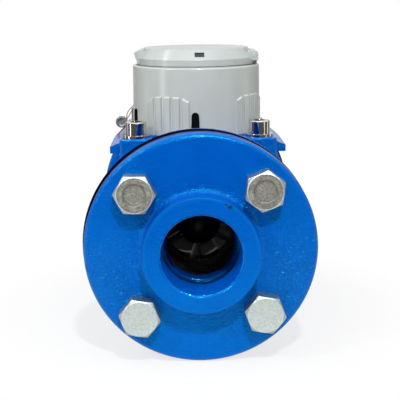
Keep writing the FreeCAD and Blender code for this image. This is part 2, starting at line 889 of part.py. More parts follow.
def drive_top():
    return cover_top - well_wall - magnet_gap


def vertical_shaft():
    return z_cylinder(shaft_r, lower_bush_z() + shaft_room, drive_top(), drive_x, centre_y)


def drive_magnet():
    ring = z_cylinder(magnet_r, drive_top() - magnet_h, drive_top(), drive_x, centre_y)
    return ring.cut(z_cylinder(shaft_r, drive_top() - magnet_h, drive_top(), drive_x, centre_y))


def magnet_well():
    plug = z_cylinder(well_r, parting_z, cover_top, drive_x, centre_y)
    return plug.cut(z_cylinder(well_bore_r, parting_z, cover_top - well_wall, drive_x, centre_y))


# Register

def register_cup():
    cup = z_cylinder(cup_r, cover_top, cup_rim_z, 0, centre_y)
    return cup.cut(z_cylinder(cup_r - cup_wall, cup_floor_z, cup_rim_z, 0, centre_y))


def clamp_ring():
    top = cover_top + clamp_h
    ring = z_cylinder(clamp_r, cover_top, top, 0, centre_y)
    lugs = [slot_prism(angle, lug_gap, cup_r, can_rim_r - lug_sink) for angle in slot_angles]
    return ring.fuse(lugs).cut(z_cylinder(cup_r + fit_gap, cover_top, top, 0, centre_y)).removeSplitter()


def hand_spots():
    spots = []
    for angle in hand_angles:
        turn = math.radians(angle)
        spots.append((hand_circle * math.sin(turn), centre_y - hand_circle * math.cos(turn)))
    return spots


def drum_axis():
    # Height of the drums' axle, so that their tops lie just under the dial.
    return dial_z - drum_r - drum_gap


def drum_row_half():
    return drum_count * drum_pitch / 2 + drum_end_gap


def movement_block():
    radius = cup_r - cup_wall - movement_gap
    block = z_cylinder(radius, cup_floor_z, dial_z, 0, centre_y)
    room_top = cup_floor_z + movement_skirt_h
    room = z_cylinder(radius - movement_skirt_t, cup_floor_z, room_top, 0, centre_y)
    half = drum_row_half()
    middle = centre_y + drum_offset
    pocket = box(-half, half, middle - drum_pocket_half, middle + drum_pocket_half,
                 drum_axis() - drum_pocket_half, dial_z)
    axle = x_cylinder(drum_axle_r, -half - axle_grip, half + axle_grip, middle, drum_axis())
    bores = [z_cylinder(arbor_r + run_gap, room_top, dial_z, drive_x, centre_y)]
    bores += [z_cylinder(hand_arbor_r + run_gap, dial_z - hand_arbor_length, dial_z, x, y)
              for x, y in hand_spots()]
    return block.cut([room, pocket, axle] + bores)


def drum_at(place):
    x0 = (place - drum_count / 2) * drum_pitch + (drum_pitch - drum_width) / 2
    middle = centre_y + drum_offset
    drum = x_cylinder(drum_r, x0, x0 + drum_width, middle, drum_axis())
    return drum.cut(x_cylinder(drum_axle_r + run_gap, x0, x0 + drum_width, middle, drum_axis()))


def drum_axle():
    half = drum_row_half() + axle_grip
    return x_cylinder(drum_axle_r, -half, half, centre_y + drum_offset, drum_axis())


def dial_plate():
    top = dial_z + dial_t
    plate = z_cylinder(cup_r - cup_wall - movement_gap, dial_z, top, 0, centre_y)
    half = drum_row_half()
    middle = centre_y + drum_offset
    window = box(-half, half, middle - dial_window_half, middle + dial_window_half, dial_z, top)
    holes = [z_cylinder(arbor_r + dial_hole_gap, dial_z, top, drive_x, centre_y)]
    holes += [z_cylinder(hand_arbor_r + dial_hole_gap, dial_z, top, x, y) for x, y in hand_spots()]
    return plate.cut([window] + holes)


def pointer(spot):
    # A slim hand on its own arbor, pointing away from the reader.
    x, y = spot
    hand = outline((0.0, hand_tip), [
        (hand_half, 0.0), (hand_tail_half, -hand_tail), (-hand_tail_half, -hand_tail), (-hand_half, 0.0)],
        lambda u, v: Vec(x + u, y + v, hand_z))
    hub = z_cylinder(hand_hub_r, hand_z, hand_z + hand_t, x, y)
    arbor = z_cylinder(hand_arbor_r, dial_z - hand_arbor_length + arbor_end_gap, hand_z + hand_t, x, y)
    return outward(hand.extrude(Vec(0, 0, hand_t))).fuse([hub, arbor]).removeSplitter()


def follower_magnet():
    z0 = cup_floor_z + follower_lift
    ring = z_cylinder(follower_r, z0, z0 + follower_h, drive_x, centre_y)
    return ring.cut(z_cylinder(arbor_r, z0, z0 + follower_h, drive_x, centre_y))


def follower_arbor():
    return z_cylinder(arbor_r, cup_floor_z + arbor_end_gap, hand_z + hand_t, drive_x, centre_y)


def star_wheel():
    points = []
    for k in range(2 * star_points + 1):
        angle = math.radians(180 * k / star_points)
        radius = star_waist_r if k % 2 else star_r
        points.append(Vec(drive_x + radius * math.cos(angle), centre_y + radius * math.sin(angle), hand_z))
    star = outward(Part.Face(Part.makePolygon(points)).extrude(Vec(0, 0, hand_t)))
    return star.cut(z_cylinder(arbor_r, hand_z, hand_z + hand_t, drive_x, centre_y))


def glass_gasket():
    ring = z_cylinder(cup_r, cup_rim_z, glass_z, 0, centre_y)
    return ring.cut(z_cylinder(cup_r - glass_gasket_width, cup_rim_z, glass_z, 0, centre_y))


def register_glass():
    return z_cylinder(cup_r, glass_z, lip_z, 0, centre_y)


# Register can, lid and hinge

def arch_height(offset):
    # The tops of a group of ribs follow a flat arch; the angle counts from its middle.
    return seat_top + rib_top - arch_fall * (abs(offset) / arch_half) ** arch_power


def grip_rib(group, offset):
    # A flat rib with a sloping top, standing out of the can's wall.
    outer = can_foot_r + rib_raise
    inner = can_foot_r - can_wall / 2
    half = math.degrees(rib_width / 2 / can_foot_r)
    wires = []
    for side in (-1, 1):
        top = arch_height(offset + side * half)
        profile = ((inner, seat_top), (outer, seat_top), (outer, top - rib_slope),
                   (can_rim_r - can_wall / 4, top), (inner, top))
        points = [Vec(side * rib_width / 2, centre_y - r, z) for r, z in profile]
        wires.append(Part.makePolygon(points + [points[0]]))
    return about_register(outward(Part.makeLoft(wires, True, True)), group + offset)


def slot_prism(angle, play, inner, outer):
    # The form of a base slot with a round top, drawn in by the play, from one radius to another.
    foot = slot_foot_half - play
    head = slot_top_half - play
    shoulder = seat_top + slot_h - slot_top_half
    face = outline((-foot, seat_top + play), [
        (-head, shoulder), (0.0, shoulder + head, head, shoulder), (foot, seat_top + play)],
        lambda t, z: Vec(t, centre_y - outer, z))
    return about_register(outward(face.extrude(Vec(0, outer - inner, 0))), angle)


def hinge_bracket():
    # The can's hinge eye, on a web that rises from the rim.
    rim = can_rim_z - can_rim_round
    reach = hinge_x + bracket_r
    face = outline((bracket_root, rim - can_rim_round), [
        (reach, rim - can_rim_round), (reach, hinge_z),
        (hinge_x, hinge_z + bracket_r, hinge_x - bracket_r, hinge_z),
        (bracket_root, rim + 2 * can_rim_round)],
        lambda x, z: Vec(x, centre_y - hinge_half, z))
    return outward(face.extrude(Vec(0, 2 * hinge_half, 0)))


def register_can():
    bore = can_foot_r - can_wall
    shape = lathe_z((can_foot_r, seat_top), [
        (can_rim_r, can_rim_z - can_rim_round),
        arc_step(can_rim_r - can_rim_round, can_rim_z - can_rim_round, can_rim_round, 0, 90),
        (can_rim_bore_r, can_rim_z),
        (can_rim_bore_r, lip_z + can_lip_t),
        (can_lip_r, lip_z + can_lip_t),
        (can_lip_r, lip_z),
        (bore, lip_z),
        (bore, seat_top)])
    ribs = []
    for group in rib_group_angles:
        for k in range(-2, 3):
            ribs.append(grip_rib(group, k * rib_step))
    inside = z_cylinder(bore, seat_top, lip_z, 0, centre_y)
    shape = shape.fuse(ribs + [hinge_bracket()])
    cuts = [inside]
    cuts += [slot_prism(angle, 0.0, bore - rib_raise, can_foot_r + 2 * rib_raise) for angle in slot_angles]
    cuts.append(y_cylinder(hinge_pin_r, centre_y - hinge_half, centre_y + hinge_half, hinge_x, hinge_z))
    cuts.append(wire_tube(wire_r + fit_gap))
    return shape.cut(cuts).removeSplitter()


def lid_shell():
    inner_edge = lid_edge_z - lid_edge_drop
    tongue_z = lip_z + can_lip_t + tongue_gap
    return lathe_z((lid_r, lid_z), [
        (lid_r, lid_edge_z),
        (lid_flat_r, lid_flat_z),
        (0.0, lid_flat_z + lid_crown),
        (0.0, lid_flat_z + lid_crown - lid_wall),
        (lid_flat_r - lid_wall / 2, lid_flat_z - lid_wall),
        (tongue_r - tongue_wall, inner_edge),
        (tongue_r - tongue_wall, tongue_z),
        (tongue_r, tongue_z),
        (tongue_r, lid_z)])


def finger_lip():
    # A lip on the side away from the hinge, with its corners cut back.
    section = outline((lip_root_r, lid_edge_z - lip_under), [
        (lip_foot_r, lid_z), (lip_reach, lid_edge_z + lip_top), (lip_head_r, lid_flat_z - lip_sink)],
        lambda x, z: Vec(-x, centre_y - lip_half, z))
    block = outward(section.extrude(Vec(0, 2 * lip_half, 0)))
    plan = outline((0.0, -lip_half), [
        (lip_reach - lip_corner, -lip_half), (lip_reach, lip_corner - lip_half),
        (lip_reach, lip_half - lip_corner), (lip_reach - lip_corner, lip_half), (0.0, lip_half)],
        lambda x, y: Vec(-x, centre_y + y, lid_z))
    return block.common(outward(plan.extrude(Vec(0, 0, 2 * lid_slope + lid_skirt))))


def lid_knuckle(side):
    y0 = centre_y + side * (hinge_half + hinge_play)
    face = outline((knuckle_root, hinge_z - knuckle_low + knuckle_lean), [
        (hinge_x - bracket_r, hinge_z - knuckle_low),
        (knuckle_reach, hinge_z - knuckle_low),
        (knuckle_reach, hinge_z + knuckle_high - knuckle_round),
        arc_step(knuckle_reach - knuckle_round, hinge_z + knuckle_high - knuckle_round, knuckle_round, 0, 90),
        (knuckle_root + knuckle_lean, hinge_z + knuckle_high)],
        lambda x, z: Vec(x, y0, z))
    return outward(face.extrude(Vec(0, side * knuckle_length, 0)))


def register_lid():
    end = hinge_half + hinge_play + knuckle_length
    shape = lid_shell().fuse([finger_lip(), lid_knuckle(1), lid_knuckle(-1)])
    window = box(-window_half, window_half, centre_y - lid_r, centre_y - lid_flat_r + 2 * lid_wall,
                 lid_z + window_low, lid_z + window_high)
    clear = hinge_half + hinge_play
    notch = box(hinge_x - bracket_r - notch_play, knuckle_reach, centre_y - clear, centre_y + clear,
                seat_top, lid_flat_z + lid_crown)
    pin = y_cylinder(hinge_pin_r + run_gap, centre_y - end, centre_y + end, hinge_x, hinge_z)
    return shape.cut([about_register(window, window_turn), notch, pin]).removeSplitter()


def hinge_pin():
    end = hinge_half + hinge_play + knuckle_length
    return y_cylinder(hinge_pin_r, centre_y - end, centre_y + end, hinge_x, hinge_z)


# Seal wire and lead seal

def wire_points():
    # From the can's wall through the seal and down into the ear.
    return [Vec(x, centre_y + y, z) for x, y, z in wire_route]


def wire_bend(before, corner, after):
    # Where a bend starts and ends, and its radius, which is as large as the two runs allow.
    into = corner - before
    out = after - corner
    reach = bend_share * min(into.Length, out.Length)
    radius = reach / math.tan(into.getAngle(out) / 2)
    return corner - into.normalize() * reach, corner + out.normalize() * reach, radius


def wire_tube(radius):
    # Straight runs joined by tangent arcs.
    points = wire_points()
    edges = []
    here = points[0]
    for before, corner, after in zip(points, points[1:], points[2:]):
        start, end, bend = wire_bend(before, corner, after)
        inward = (start + end - corner * 2).normalize()
        middle = corner + inward * (math.hypot(bend, (start - corner).Length) - bend)
        edges.append(Part.makeLine(here, start))
        edges.append(Part.Arc(start, middle, end).toShape())
        here = end
    edges.append(Part.makeLine(here, points[-1]))
    section = Part.Wire(Part.makeCircle(radius, points[0], points[1] - points[0]))
    return outward(Part.Wire(edges).makePipeShell([section], True, True))


def lead_seal():
    x, y, z = seal_centre
    disc = y_cylinder(seal_r, centre_y + y - seal_t / 2, centre_y + y + seal_t / 2, x, z)
    edges = [e for e in disc.Edges if e.Curve.TypeId == "Part::GeomCircle"]
    return disc.makeFillet(seal_rim, edges).cut(wire_tube(wire_r + fit_gap))


bush_front_y = ring_end_y - bush_length
bush_back_y = centre_y + hub_back - tail_plug - tail_boss
save("inlet_companion_flange", companion_flange())
save("outlet_companion_flange", at_outlet(companion_flange()))
save("inlet_gasket", flange_gasket())
save("outlet_gasket", at_outlet(flange_gasket()))
save("inlet_bolts", flange_bolts(inlet_head_turns))
save("outlet_bolts", at_outlet(flange_bolts(outlet_head_turns)))
save("inlet_nuts", flange_nuts(inlet_head_turns))
save("outlet_nuts", at_outlet(flange_nuts(outlet_head_turns)))
save("meter_body", meter_body())
save("top_cover", top_cover())
save("cover_ring", cover_ring())
save("cover_washers", cover_washers())
save("cover_screws", cover_screws())
save("inlet_liner", inlet_liner())
save("insert_housing", insert_housing())
save("insert_screws", insert_screws())
save("tail_cap", tail_cap())
save("straightener", straightener())
save("turbine_rotor", turbine_rotor())
save("rotor_shaft", rotor_shaft())
save("rotor_front_bush", bush_along_y(bush_front_y))
save("rotor_rear_bush", bush_along_y(bush_back_y))
save("worm", worm())
save("worm_wheel", worm_wheel())
save("vertical_shaft", vertical_shaft())
save("shaft_lower_bush", bush_along_z(lower_bush_z(), bush_length))
save("shaft_upper_bush", bush_along_z(parting_z - bush_length, bush_length))
save("drive_magnet", drive_magnet())
save("magnet_well", magnet_well())
save("register_cup", register_cup())
save("clamp_ring", clamp_ring())
save("movement_block", movement_block())
save("drum_axle", drum_axle())
save("number_drums", Part.makeCompound([drum_at(k) for k in range(drum_count - 1)]))
save("first_drum", drum_at(drum_count - 1))
save("dial_plate", dial_plate())
for k, spot in enumerate(hand_spots()):
    save("pointer_" + str(k + 1), pointer(spot))
save("follower_magnet", follower_magnet())
save("follower_arbor", follower_arbor())
save("star_wheel", star_wheel())
save("glass_gasket", glass_gasket())
save("register_glass", register_glass())
save("register_can", register_can())
save("register_lid", register_lid())
save("hinge_pin", hinge_pin())
save("seal_wire", wire_tube(wire_r))
save("lead_seal", lead_seal())
route = wire_points()
print("wire bend radii", [round(wire_bend(*three)[2], 1) for three in zip(route, route[1:], route[2:])])
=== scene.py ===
import json
import math

import bmesh
import bpy
from mathutils import Matrix, Vector, noise


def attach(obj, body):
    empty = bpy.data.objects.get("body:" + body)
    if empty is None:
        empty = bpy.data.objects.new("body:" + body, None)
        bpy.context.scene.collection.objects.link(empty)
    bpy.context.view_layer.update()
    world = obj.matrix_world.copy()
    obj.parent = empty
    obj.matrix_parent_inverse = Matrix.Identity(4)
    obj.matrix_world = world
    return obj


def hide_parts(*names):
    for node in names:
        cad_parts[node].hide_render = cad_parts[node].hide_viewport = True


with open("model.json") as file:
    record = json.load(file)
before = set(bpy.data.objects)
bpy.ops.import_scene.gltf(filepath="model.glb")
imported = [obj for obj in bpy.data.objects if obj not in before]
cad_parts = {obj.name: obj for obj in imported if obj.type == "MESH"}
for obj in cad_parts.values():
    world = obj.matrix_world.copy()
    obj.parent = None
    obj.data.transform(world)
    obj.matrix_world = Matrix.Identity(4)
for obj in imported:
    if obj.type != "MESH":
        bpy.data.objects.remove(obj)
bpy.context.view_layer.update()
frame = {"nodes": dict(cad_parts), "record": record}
nodes = frame["nodes"]

# Places of the meter in metres; the flow runs along +Y
MM = 0.001
HUB_FACE_Y = -1.67 * MM
FACE_Y = 14.33 * MM
CENTRE_Y = 131.33 * MM
FLOOR_Z = -83.0 * MM

# Camera, fitted to the flange's outline and bolts; pixels are of a 400 by 400 frame
VIEW_AZIMUTH = -1.2
VIEW_ELEVATION = 12.2
VIEW_ROLL = -0.65
VIEW_FOCAL_PX = 941.0
VIEW_DISTANCE = 650.0 * MM
VIEW_AIM = Vector((-0.4 * MM, FACE_Y, 36.2 * MM))
FRAME_PX = 400
SENSOR_MM = 36.0
CLIP_NEAR = 0.01
CLIP_FAR = 50.0

# Seal wire: the route of the CAD model, from the meter's middle, in millimetres
WIRE_ROUTE = ((-49.0, 0.0, 90.0), (-52.6, 0.3, 86.0), (-56.2, 2.4, 78.6),
              (-57.4, 3.4, 71.2), (-62.3, 4.8, 67.4), (-64.6, 5.5, 62.5))
ROUTE_ORDER = 3
ROUTE_STEPS = 24
WIRE_STEPS = 180
WIRE_AROUND = 10
STRAND_R = 0.35 * MM
STRAND_TWIST = 3.4 * MM
STRAND_APART = 1.02
LOOP_SHARE = 0.40
LOOP_HALF = 1.15 * MM
LOOP_LEAN = 1.5

# Lead seal: each ring has a share of the radius and of the thickness, each dent a scale and a depth
SEAL_CENTRE = Vector((-60.3 * MM, CENTRE_Y + 2.9 * MM, 75.8 * MM))
SEAL_R = 4.6 * MM
SEAL_T = 4.5 * MM
SEAL_AROUND = 56
SEAL_RINGS = ((0.0, -0.36), (0.25, -0.35), (0.45, -0.34), (0.58, -0.37), (0.66, -0.44), (0.76, -0.49),
              (0.87, -0.48), (0.95, -0.42), (1.0, -0.30), (1.0, 0.0), (1.0, 0.30), (0.95, 0.42),
              (0.87, 0.48), (0.70, 0.49), (0.5, 0.48), (0.25, 0.47), (0.0, 0.47))
SEAL_DENTS = ((420.0, 0.22 * MM), (1100.0, 0.10 * MM))
SEAL_DENT_ALONG = 0.8

# Gaskets: the bead's section has shares of half the thickness and of the rise
GASKET_X = -0.5 * MM
GASKET_Y = 29.33 * MM
GASKET_HALF = 2.0 * MM
GASKET_R = 82.9 * MM
BEAD_SECTION = ((-0.9, 0.0), (-0.8, 0.6), (-0.35, 1.0), (0.35, 1.0), (0.8, 0.6), (0.9, 0.0))
BEAD_AROUND = 144
BEAD_ROOT = 0.2 * MM
BEAD_LEAST = 0.06 * MM
BEAD_MORE = 0.9 * MM
BEAD_FULLEST = 125.0

# Bolts and threads: a ridge's foot and crest are shares of the pitch, and it fades out over half a turn
PIPE_THREAD_R = 28.33 * MM
PIPE_THREAD_H = 0.42 * MM
PIPE_THREAD_START = 0.4 * MM
PIPE_THREAD_END = 27.33 * MM
PIPE_PITCH = 2.309 * MM
BOLT_R = 8.0 * MM
BOLT_THREAD_H = 0.3 * MM
BOLT_THREAD_PITCH = 1.2 * MM
BOLT_TIP = 1.2 * MM
BOLT_END_Y = 63.13 * MM
NUT_END_Y = 59.13 * MM
NUT_GAP = 0.1 * MM
HEAD_Y = 2.33 * MM
HEAD_DISH = 1.0 * MM
BOLT_PLACES = ((44.07 * MM, 43.61 * MM), (-45.26 * MM, 42.37 * MM),
               (-43.67 * MM, -45.51 * MM), (44.41 * MM, -44.32 * MM))
DISHED = BOLT_PLACES[:2]
RIDGE_SINK = 0.02 * MM
RIDGE_FOOT = 0.9
RIDGE_CREST_HALF = 0.06
RIDGE_FADE = 2.0
RIDGE_STEPS = 64

# Register can: slots in its base, and plugs whose rings have an inset and a height
SLOT_ANGLES = (-2.0, 110.0, 178.0, 290.0)
SLOT_FOOT_Z = 70.6 * MM
SLOT_H = 18.0 * MM
SLOT_FOOT_HALF = 3.4 * MM
SLOT_TOP_HALF = 2.8 * MM
SLOT_PLAY = 0.05 * MM
PLUG_ROOT_R = 49.5 * MM
PLUG_OUT = 1.8 * MM
PLUG_RINGS = ((0.0, 0.0), (0.0, PLUG_OUT - 0.5 * MM), (0.15 * MM, PLUG_OUT - 0.15 * MM), (0.5 * MM, PLUG_OUT))
PLUG_AROUND = 14

# Lid: its slope, the pane in its window, and hinge caps whose rings have shares of radius and height
LID_EDGE_R = 46.5 * MM
LID_EDGE_Z = 127.1 * MM
LID_SLOPE_IN = 5.5 / 7.6
PANE_TURN = 2.6
PANE_HALF = 3.6 * MM
PANE_LOW_Z = 129.4 * MM
PANE_HIGH_Z = 132.6 * MM
PANE_SINK = 1.0 * MM
PANE_T = 0.6 * MM
PANE_COLUMNS = 7
PANE_ROWS = 5
HINGE_X = 45.0 * MM
HINGE_Z = 129.1 * MM
HINGE_END = 18.3 * MM
HINGE_CAP_R = 1.9 * MM
HINGE_CAP_T = 0.3 * MM
HINGE_CAP_RINGS = ((1.0, 0.0), (1.0, 0.5), (0.9, 0.85), (0.6, 1.0), (0.0, 1.0))
HINGE_CAP_AROUND = 32

# Register face: each tick has an inner and an outer radius and half a width
DIAL_TOP = 104.3 * MM
INK = 0.03 * MM
HAND_CIRCLE = 25.0 * MM
HAND_ANGLES = (60.0, 0.0, -60.0)
HAND_TICKS = 50
HAND_LONG_EVERY = 5
HAND_LONG_TICK = (7.6 * MM, 9.0 * MM, 0.14 * MM)
HAND_SHORT_TICK = (8.3 * MM, 9.0 * MM, 0.07 * MM)
HAND_NUMBER_R = 10.4 * MM
HAND_NUMBER_SIZE = 3.0 * MM
RIM_TICKS = 120
RIM_LONG_EVERY = 10
RIM_LONG_TICK = (40.6 * MM, 42.2 * MM, 0.1 * MM)
RIM_SHORT_TICK = (40.6 * MM, 41.4 * MM, 0.1 * MM)
DRUM_Y = CENTRE_Y + 11.0 * MM
DRUM_Z = 96.9 * MM
DRUM_PRINT_R = 6.0 * MM + INK
DRUM_PITCH = 5.3 * MM
DRUM_COUNT = 6
DRUM_NUMBER_SIZE = 4.6 * MM
WINDOW_HALF_X = 16.4 * MM
WINDOW_HALF_Y = 4.2 * MM
BORDER_IN = 0.2 * MM
BORDER_OUT = 1.4 * MM
GLYPH_STEPS = 3
GLYPH_CUTS = (-0.25, -0.12, 0.0, 0.12, 0.25)


def put(name, data):
    # A new object in the scene.
    made = bpy.data.objects.new(name, data)
    bpy.context.scene.collection.objects.link(made)
    return made


def put_mesh(name, points, faces, material):
    mesh = bpy.data.meshes.new(name)
    mesh.from_pydata([tuple(p) for p in points], [], faces)
    mesh.materials.append(material)
    return put(name, mesh)


def outward(azimuth, elevation):
    # A direction away from the meter; azimuth counts in degrees from the inlet side towards +X.
    turn = math.radians(azimuth)
    rise = math.radians(elevation)
    return Vector((math.sin(turn) * math.cos(rise), -math.cos(turn) * math.cos(rise), math.sin(rise)))


# Camera

def make_camera():
    back = outward(VIEW_AZIMUTH, VIEW_ELEVATION)
    level = (-back).cross(Vector((0, 0, 1))).normalized()
    upright = level.cross(-back)
    roll = math.radians(VIEW_ROLL)
    right = level * math.cos(roll) + upright * math.sin(roll)
    up = upright * math.cos(roll) - level * math.sin(roll)
    place = VIEW_AIM + back * VIEW_DISTANCE
    data = bpy.data.cameras.new("camera")
    data.sensor_width = SENSOR_MM
    data.lens = SENSOR_MM * VIEW_FOCAL_PX / FRAME_PX
    data.clip_start = CLIP_NEAR
    data.clip_end = CLIP_FAR
    camera = put("camera", data)
    camera.matrix_world = Matrix((
        (right.x, up.x, back.x, place.x),
        (right.y, up.y, back.y, place.y),
        (right.z, up.z, back.z, place.z),
        (0.0, 0.0, 0.0, 1.0)))
    bpy.context.scene.camera = camera


make_camera()


# Node materials

MIX_FIRST = 6
MIX_SECOND = 7
MIX_RESULT = 2
BEVEL_SAMPLES = 6


def cleared(owner):
    # The empty node tree of a new material or world.
    owner.use_nodes = True
    owner.node_tree.nodes.clear()
    return owner.node_tree


def feed(tree, socket, value):
    if isinstance(value, bpy.types.NodeSocket):
        tree.links.new(value, socket)
    else:
        socket.default_value = value


def add(tree, kind, settings=None, **inputs):
    made = tree.nodes.new(kind)
    for name, value in (settings or {}).items():
        setattr(made, name, value)
    for name, value in inputs.items():
        feed(tree, made.inputs[name.replace("_", " ")], value)
    return made


def calculate(tree, kind, operation, values):
    made = add(tree, kind, {"operation": operation})
    for socket, value in zip(made.inputs, values):
        feed(tree, socket, value)
    return made.outputs


def number(tree, operation, *values):
    return calculate(tree, "ShaderNodeMath", operation, values)[0]


def vector(tree, operation, *values, result="Vector"):
    return calculate(tree, "ShaderNodeVectorMath", operation, values)[result]


def map_range(tree, value, low, high, to_low, to_high, settings=None):
    made = add(tree, "ShaderNodeMapRange", settings, Value=value, From_Min=low, From_Max=high,
               To_Min=to_low, To_Max=to_high)
    return made.outputs[0]


def show(tree, shader, kind="ShaderNodeOutputMaterial"):
    tree.links.new(shader.outputs[0], add(tree, kind).inputs[0])


class Surface:
    # A principled material with helpers for the patterns that drive it.
    def __init__(self, name):
        self.material = bpy.data.materials.new(name)
        self.tree = cleared(self.material)
        self.shader = add(self.tree, "ShaderNodeBsdfPrincipled")
        show(self.tree, self.shader)
        self.place = add(self.tree, "ShaderNodeTexCoord").outputs["Object"]
        self.normal = None

    def stretched(self, x, y, z):
        return add(self.tree, "ShaderNodeMapping", Vector=self.place, Scale=(x, y, z)).outputs[0]

    def noise(self, scale, detail=3.0, rough=0.5, place=None):
        made = add(self.tree, "ShaderNodeTexNoise", Vector=place or self.place, Scale=scale, Detail=detail,
                   Roughness=rough)
        return made.outputs["Fac"]

    def levels(self, value, low, high, to_low=0.0, to_high=1.0):
        return map_range(self.tree, value, low, high, to_low, to_high)

    def blend(self, factor, first, second):
        made = add(self.tree, "ShaderNodeMix", {"data_type": "RGBA"}, Factor=factor)
        feed(self.tree, made.inputs[MIX_FIRST], first)
        feed(self.tree, made.inputs[MIX_SECOND], second)
        return made.outputs[MIX_RESULT]

    def plus(self, first, second):
        return number(self.tree, "ADD", first, second)

    def times(self, first, second):
        return number(self.tree, "MULTIPLY", first, second)

    def larger(self, first, second):
        return number(self.tree, "MAXIMUM", first, second)

    def off(self, value, middle):
        # How far a value is from a middle one, either way.
        return number(self.tree, "ABSOLUTE", number(self.tree, "SUBTRACT", value, middle))

    def along(self, axis):
        return add(self.tree, "ShaderNodeSeparateXYZ", Vector=self.place).outputs[axis]

    def away(self, spot, weights):
        # Distance from a spot on the object, with the axes weighted.
        moved = vector(self.tree, "SUBTRACT", self.place, spot)
        return vector(self.tree, "LENGTH", vector(self.tree, "MULTIPLY", moved, weights), result="Value")

    def soften(self, radius):
        # Edges shade as if rounded.
        self.normal = add(self.tree, "ShaderNodeBevel", {"samples": BEVEL_SAMPLES}, Radius=radius).outputs[0]

    def bump(self, height, depth):
        made = add(self.tree, "ShaderNodeBump", Height=height, Distance=depth, Strength=1.0)
        if self.normal:
            self.tree.links.new(self.normal, made.inputs["Normal"])
        self.normal = made.outputs[0]

    def set(self, **inputs):
        for name, value in inputs.items():
            feed(self.tree, self.shader.inputs[name.replace("_", " ")], value)

    def done(self):
        if self.normal:
            self.tree.links.new(self.normal, self.shader.inputs["Normal"])
        return self.material


def srgb(red, green, blue):
    # Screen values from 0 to 255 as a linear colour.
    def linear(value):
        value /= 255
        return value / 12.92 if value <= 0.04045 else ((value + 0.055) / 1.055) ** 2.4
    return linear(red), linear(green), linear(blue), 1.0


# Spans in which most values of a noise lie, and weights that leave out the flow's direction
MOST = (0.3, 0.7)
MIDDLE = (0.35, 0.65)
WIDE = (0.2, 0.8)
ACROSS_FLOW = (1.0, 0.0, 1.0)

# Blue coat: colours and gloss
BLUE_LOW = srgb(0, 82, 183)
BLUE_HIGH = srgb(0, 88, 190)
# The darkest blue is painted shade, laid inside the bore where little light reaches.
BLUE_PAINTED_SHADE = srgb(0, 44, 112)
FLANGE_SHEEN = (0.04, 0.95, 1.0, 1.0)
CASTING_SHEEN = (0.04, 0.62, 1.0, 1.0)
BLUE_TONE = (0.35, 0.68)
BLUE_GLOSS = 0.75
BLUE_ROUGH = (0.1, 0.17)
BLUE_EDGE = 0.5 * MM

# Blue coat: zones, each from one place to another with its share at both
# The zone inside the bore carries painted shade: the coat is painted darker there.
PAINTED_SHADE_LENGTH = (CENTRE_Y - 31.0 * MM, CENTRE_Y - 28.0 * MM, 1.0, 0.0)
PAINTED_SHADE_R = (31.0 * MM, 33.0 * MM, 1.0, 0.0)
WATERWAY_PEEL = 0.15
COLLAR_PEEL = 0.6
COLLAR_R = (46.0 * MM, 50.0 * MM, COLLAR_PEEL, 0.0)
COLLAR_ROUGH = 0.7
PEEL_UPWARD = (-8.0 * MM, 26.0 * MM, 1.0, 0.4)
PEEL_SIDEWAYS = (36.0 * MM, 54.0 * MM, 0.45, 1.0)
PEEL_INWARD = (HUB_FACE_Y + 0.6 * MM, HUB_FACE_Y + 3.0 * MM, 0.3, 1.0)
PEEL_DEPTH = 1.9 * MM
WAVE_DEPTH = 0.2 * MM

# Blue coat: edges that are duller, each with its radius and added roughness
DULL_EDGES = ((41.0 * MM, 0.35), (82.0 * MM, 0.15))
DULL_REACH = (1.2 * MM, 3.2 * MM)

# Dark chips in the paint of the hub's face: place, weights of the axes and reach
CHIPS = (((16.9 * MM, HUB_FACE_Y, 36.0 * MM), (1.0, 1.0, 1.5), 1.15 * MM),
         ((19.5 * MM, HUB_FACE_Y, 34.3 * MM), (0.85, 1.0, 1.15), 1.55 * MM))
CHIP_COLOUR = srgb(22, 34, 52)
CHIP_CORE = 0.75
CHIP_RAGGED = 0.35 * MM


def blue_epoxy(name, sheen):
    # Powder coat on a casting: orange peel over slow waves, with two chips on the hub's smooth face, and
    # painted shade inside the bore.
    s = Surface(name)
    s.soften(BLUE_EDGE)
    inward = s.along("Y")
    from_axis = s.away((0.0, 0.0, 0.0), ACROSS_FLOW)
    # Painted shade: a zone inside the bore, where the coat is painted darker.
    painted_shade_zone = s.times(s.levels(s.off(inward, CENTRE_Y), *PAINTED_SHADE_LENGTH), s.levels(from_axis, *PAINTED_SHADE_R))
    collar = s.levels(from_axis, *COLLAR_R)

    tone = s.levels(s.noise(scale=30.0, detail=5.0), *BLUE_TONE)
    # The bore zone is blended to the darker blue: painted shade.
    colour = s.blend(painted_shade_zone, s.blend(tone, BLUE_LOW, BLUE_HIGH), BLUE_PAINTED_SHADE)
    ragged = s.levels(s.noise(scale=1500.0), *MOST, -CHIP_RAGGED, CHIP_RAGGED)
    for spot, weights, reach in CHIPS:
        gap = s.plus(s.away(spot, weights), ragged)
        colour = s.blend(s.levels(gap, reach * CHIP_CORE, reach, 1.0, 0.0), colour, CHIP_COLOUR)
    s.set(Base_Color=colour, Specular_Tint=sheen, Specular_IOR_Level=BLUE_GLOSS)

    rough = s.levels(s.noise(scale=60.0, detail=2.0), *MOST, *BLUE_ROUGH)
    rough = s.times(rough, s.levels(collar, 0.0, COLLAR_PEEL, 1.0, COLLAR_ROUGH))
    for edge_r, reflection_and_wear in DULL_EDGES:
        rough = s.plus(rough, s.levels(s.off(from_axis, edge_r), *DULL_REACH, reflection_and_wear, 0.0))
    s.set(Roughness=rough)

    s.bump(s.noise(scale=70.0, detail=2.0), WAVE_DEPTH)
    share = s.times(s.levels(s.along("Z"), *PEEL_UPWARD), s.levels(s.off(s.along("X"), 0.0), *PEEL_SIDEWAYS))
    share = s.times(s.larger(share, collar), s.levels(inward, *PEEL_INWARD))
    share = s.times(share, s.levels(painted_shade_zone, 0.0, 1.0, 1.0, WATERWAY_PEEL))
    s.bump(s.times(s.noise(scale=500.0, detail=2.0, rough=0.6), share), PEEL_DEPTH)
    return s.done()


